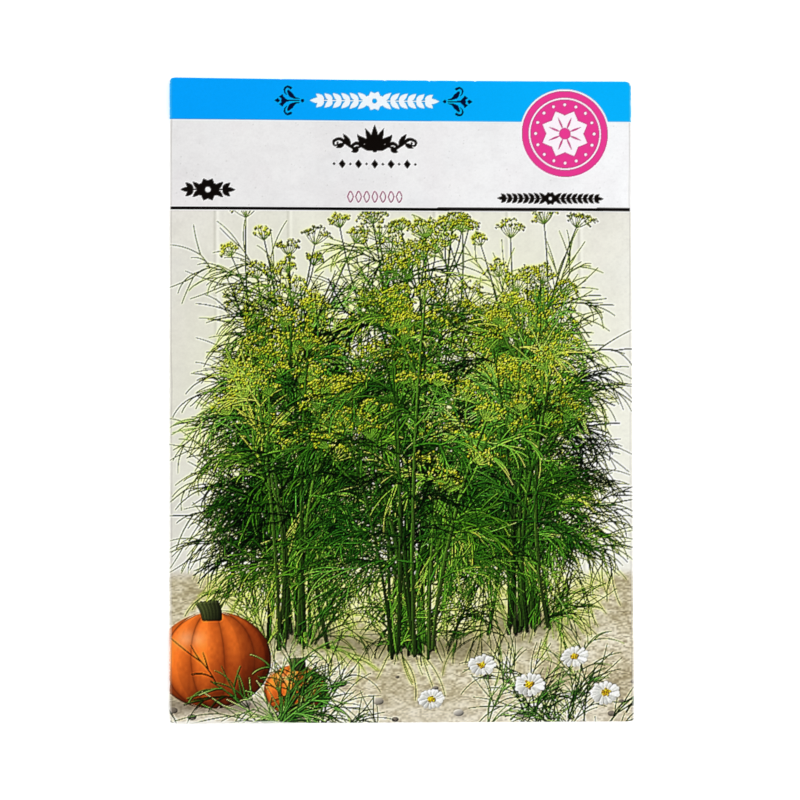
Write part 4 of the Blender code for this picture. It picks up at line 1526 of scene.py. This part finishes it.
class Nodes:
    """The nodes of a material or of the sky. Its methods add one and give back what it puts out."""

    def __init__(self, owner):
        owner.use_nodes = True
        self.tree = owner.node_tree

    def feed(self, node, inputs):
        """Set a node's inputs, each to a number or colour, or to what another node puts out."""
        for name, value in inputs.items():
            if isinstance(value, bpy.types.NodeSocket):
                self.tree.links.new(value, node.inputs[name])
            else:
                node.inputs[name].default_value = value

    def add(self, kind, inputs, output):
        """Add a node of a kind."""
        made = self.tree.nodes.new("ShaderNode" + kind)
        self.feed(made, inputs)
        return made.outputs[output]

    def noise(self, place, scale, detail, roughness=0.55):
        """Soft chance patches, finer as the scale is larger."""
        inputs = {"Vector": place, "Scale": scale, "Detail": detail, "Roughness": roughness}
        return self.add("TexNoise", inputs, "Fac")

    def attribute(self, name, output="Fac"):
        """What the mesh says at each of its points."""
        made = self.tree.nodes.new("ShaderNodeAttribute")
        made.attribute_name = name
        return made.outputs[output]

    def remap(self, value, low, high, to_low, to_high):
        """Stretch a range of values to another."""
        inputs = {"Value": value, "From Min": low, "From Max": high, "To Min": to_low, "To Max": to_high}
        return self.add("MapRange", inputs, "Result")

    def count(self, operation, first, second):
        """Work out a value from two."""
        made = self.tree.nodes.new("ShaderNodeMath")
        made.operation = operation
        self.feed(made, {0: first, 1: second})
        return made.outputs[0]

    def blend(self, kind, share, first, second):
        """Mix two colours."""
        made = self.tree.nodes.new("ShaderNodeMix")
        made.data_type = "RGBA"
        made.blend_type = kind
        self.feed(made, {0: share, 6: first, 7: second})
        return made.outputs[2]

    def dress(self, inputs, *bumps):
        """Feed the shader, and press height layers in: each is a height and its reach in metres."""
        shader = self.tree.nodes["Principled BSDF"]
        self.feed(shader, inputs)
        for height, distance in bumps:
            layer = {"Strength": 1.0, "Distance": distance, "Height": height}
            if shader.inputs["Normal"].is_linked:
                layer["Normal"] = shader.inputs["Normal"].links[0].from_socket
            self.feed(shader, {"Normal": self.add("Bump", layer, "Normal")})


def printed_paper():
    """Coated paper with its print: fibres show faintly, and ink is glossier than bare stock."""
    made = bpy.data.materials.new("printed paper")
    nodes = Nodes(made)
    place = nodes.add("TexCoord", {}, "Object")
    ink = nodes.attribute("print", "Color")
    fibre = nodes.noise(place, 2600.0, 3.0, 0.7)
    cloud = nodes.noise(place, 90.0, 4.0)
    mottled = nodes.remap(fibre, 0.3, 0.7, 0.965, 1.02)
    grey = nodes.count("MULTIPLY", mottled, nodes.remap(cloud, 0.3, 0.7, 0.985, 1.01))
    tint = nodes.add("CombineColor", {"Red": grey, "Green": grey, "Blue": grey}, "Color")
    light = nodes.add("RGBToBW", {"Color": ink}, "Val")
    rough = nodes.remap(light, 0.0, 0.9, 0.36, 0.47)
    inputs = {
        "Base Color": nodes.blend("MULTIPLY", 1.0, ink, tint),
        "Roughness": nodes.count("ADD", rough, nodes.remap(cloud, 0.3, 0.7, -0.04, 0.05)),
        "Specular IOR Level": 0.03,
    }
    grain = nodes.noise(place, 5200.0, 2.0)
    tooth = nodes.noise(place, 700.0, 4.0)
    nodes.dress(inputs, (grain, 0.000006), (tooth, 0.00003))
    return made


def dried_glue():
    """A film of dried paste: yellowish, with thicker streaks, small bubbles and a soft gloss."""
    made = bpy.data.materials.new("dried paste")
    nodes = Nodes(made)
    place = nodes.add("TexCoord", {}, "Object")
    drawn_out = nodes.add("Mapping", {"Vector": place, "Scale": (1.0, 0.12, 1.0)}, "Vector")
    streaks = nodes.noise(drawn_out, 700.0, 3.0)
    fine = nodes.noise(place, 3500.0, 2.0)
    bubbles = nodes.add("TexVoronoi", {"Vector": place, "Scale": 900.0}, "Distance")
    ringed = nodes.remap(bubbles, 0.08, 0.22, 1.0, 0.0)
    base = nodes.blend("MIX", streaks, (0.80, 0.71, 0.50, 1.0), (0.60, 0.50, 0.30, 1.0))
    inputs = {
        "Base Color": nodes.blend("MIX", ringed, base, (0.90, 0.84, 0.68, 1.0)),
        "Roughness": nodes.remap(fine, 0.3, 0.7, 0.28, 0.45),
    }
    nodes.dress(inputs, (streaks, 0.00003), (ringed, 0.00001))
    return made


def seed_husk():
    """Dry brown husk with pale ribs and a straw-coloured wing round its edge."""
    made = bpy.data.materials.new("ribbed husk")
    nodes = Nodes(made)
    place = nodes.add("TexCoord", {}, "Object")
    speck = nodes.noise(place, 3800.0, 4.0, 0.7)
    brown = nodes.blend(
        "MIX", nodes.attribute("seed tone"), (0.085, 0.045, 0.020, 1.0), (0.21, 0.125, 0.058, 1.0)
    )
    dry = nodes.blend("MULTIPLY", 0.6, brown, speck)
    ribs = nodes.remap(nodes.attribute("rib"), 0.25, 0.95, 0.0, 0.85)
    inputs = {
        "Base Color": nodes.blend("MIX", ribs, dry, (0.46, 0.33, 0.175, 1.0)),
        "Roughness": nodes.remap(speck, 0.3, 0.7, 0.6, 0.8),
    }
    nodes.dress(inputs, (speck, 0.00003))
    return made


def add_piece(name, mesh, material, node):
    """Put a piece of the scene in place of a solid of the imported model."""
    piece = bpy.data.objects.new(name, mesh)
    piece.data.materials.append(material)
    bpy.context.scene.collection.objects.link(piece)
    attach(piece, "root")
    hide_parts(node)
    return piece


def envelope(places):
    """The printed sheet, folded round the seeds."""
    canvas = Canvas(DOTS)
    picture(canvas)
    header_ground(canvas)
    ornaments(canvas)
    wear_and_fold_shade(canvas)
    mesh = envelope_mesh(Blank(), canvas, places)
    add_piece("printed_envelope", mesh, printed_paper(), "paper_envelope")


def glue_films():
    """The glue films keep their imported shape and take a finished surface."""
    paste = dried_glue()
    for name in ("side_seam_glue", "bottom_flap_glue", "top_flap_glue"):
        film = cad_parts[name]
        film.data.materials.clear()
        film.data.materials.append(paste)


# The photograph's view: a long lens almost straight above. Its turns are in degrees
CAMERA_PLACE = (-78.41 * MM, -34.07 * MM, 784.9 * MM)
CAMERA_TURNS = (2.487, -5.677, -0.126)
CAMERA_LENS = 200.0

# The table, and the soft lights round it, each a place in metres and its power in watts
TABLE_RADIUS = 0.5
SOFTBOX_SIZE = 0.35
SOFTBOXES = (
    ((0.42, 0.26, 0.36), 1.75),
    ((-0.42, 0.10, 0.36), 1.25),
    ((0.05, -0.45, 0.36), 1.05),
)


def stage():
    """A white table under a sky that is pale low down and dim overhead, with three soft lights."""
    shape = bmesh.new()
    bmesh.ops.create_circle(shape, cap_ends=True, segments=96, radius=TABLE_RADIUS)
    mesh = bpy.data.meshes.new("table")
    shape.to_mesh(mesh)
    shape.free()
    table = bpy.data.objects.new("table", mesh)
    white = bpy.data.materials.new("white table")
    inputs = {
        "Base Color": (0.97, 0.97, 0.97, 1.0),
        "Emission Color": (1.0, 1.0, 1.0, 1.0),
        "Emission Strength": 0.3,
        "Roughness": 0.9,
        "Specular IOR Level": 0.0,
    }
    Nodes(white).dress(inputs)
    mesh.materials.append(white)
    bpy.context.scene.collection.objects.link(table)
    pale_sky()
    for place, power in SOFTBOXES:
        light_at(place, power)
    bpy.context.scene.view_settings.view_transform = "Standard"


def pale_sky():
    """White light from all round, strong low down and dim overhead."""
    world = bpy.data.worlds.new("pale sky")
    nodes = Nodes(world)
    ahead = nodes.add("TexCoord", {}, "Generated")
    height = nodes.add("SeparateXYZ", {0: ahead}, "Z")
    strength = nodes.remap(height, 0.12, 0.5, 1.08, 0.26)
    nodes.feed(world.node_tree.nodes["Background"], {"Strength": strength, "Color": (1.0, 1.0, 1.0, 1.0)})
    bpy.context.scene.world = world


def light_at(place, power):
    """A square soft light that points at the middle of the table."""
    data = bpy.data.lights.new("softbox", "AREA")
    data.shape = "SQUARE"
    data.size = SOFTBOX_SIZE
    data.energy = power
    lamp = bpy.data.objects.new("softbox", data)
    lamp.location = place
    lamp.rotation_euler = (-Vector(place)).to_track_quat("-Z", "Y").to_euler()
    bpy.context.scene.collection.objects.link(lamp)


def camera():
    """The camera almost straight above, where it gives the photograph's outline."""
    data = bpy.data.cameras.new("camera")
    data.lens = CAMERA_LENS
    data.sensor_width = 36.0
    data.clip_start = 0.01
    data.clip_end = 50.0
    made = bpy.data.objects.new("camera", data)
    made.location = CAMERA_PLACE
    made.rotation_euler = tuple(math.radians(turn) for turn in CAMERA_TURNS)
    bpy.context.scene.collection.objects.link(made)
    bpy.context.scene.camera = made


def build():
    """The whole scene, from the camera to the glue."""
    camera()
    stage()
    places = seed_places()
    envelope(places)
    add_piece("ribbed_seeds", seed_mesh(places), seed_husk(), "seed_heap")
    glue_films()


build()
bpy.context.view_layer.update()
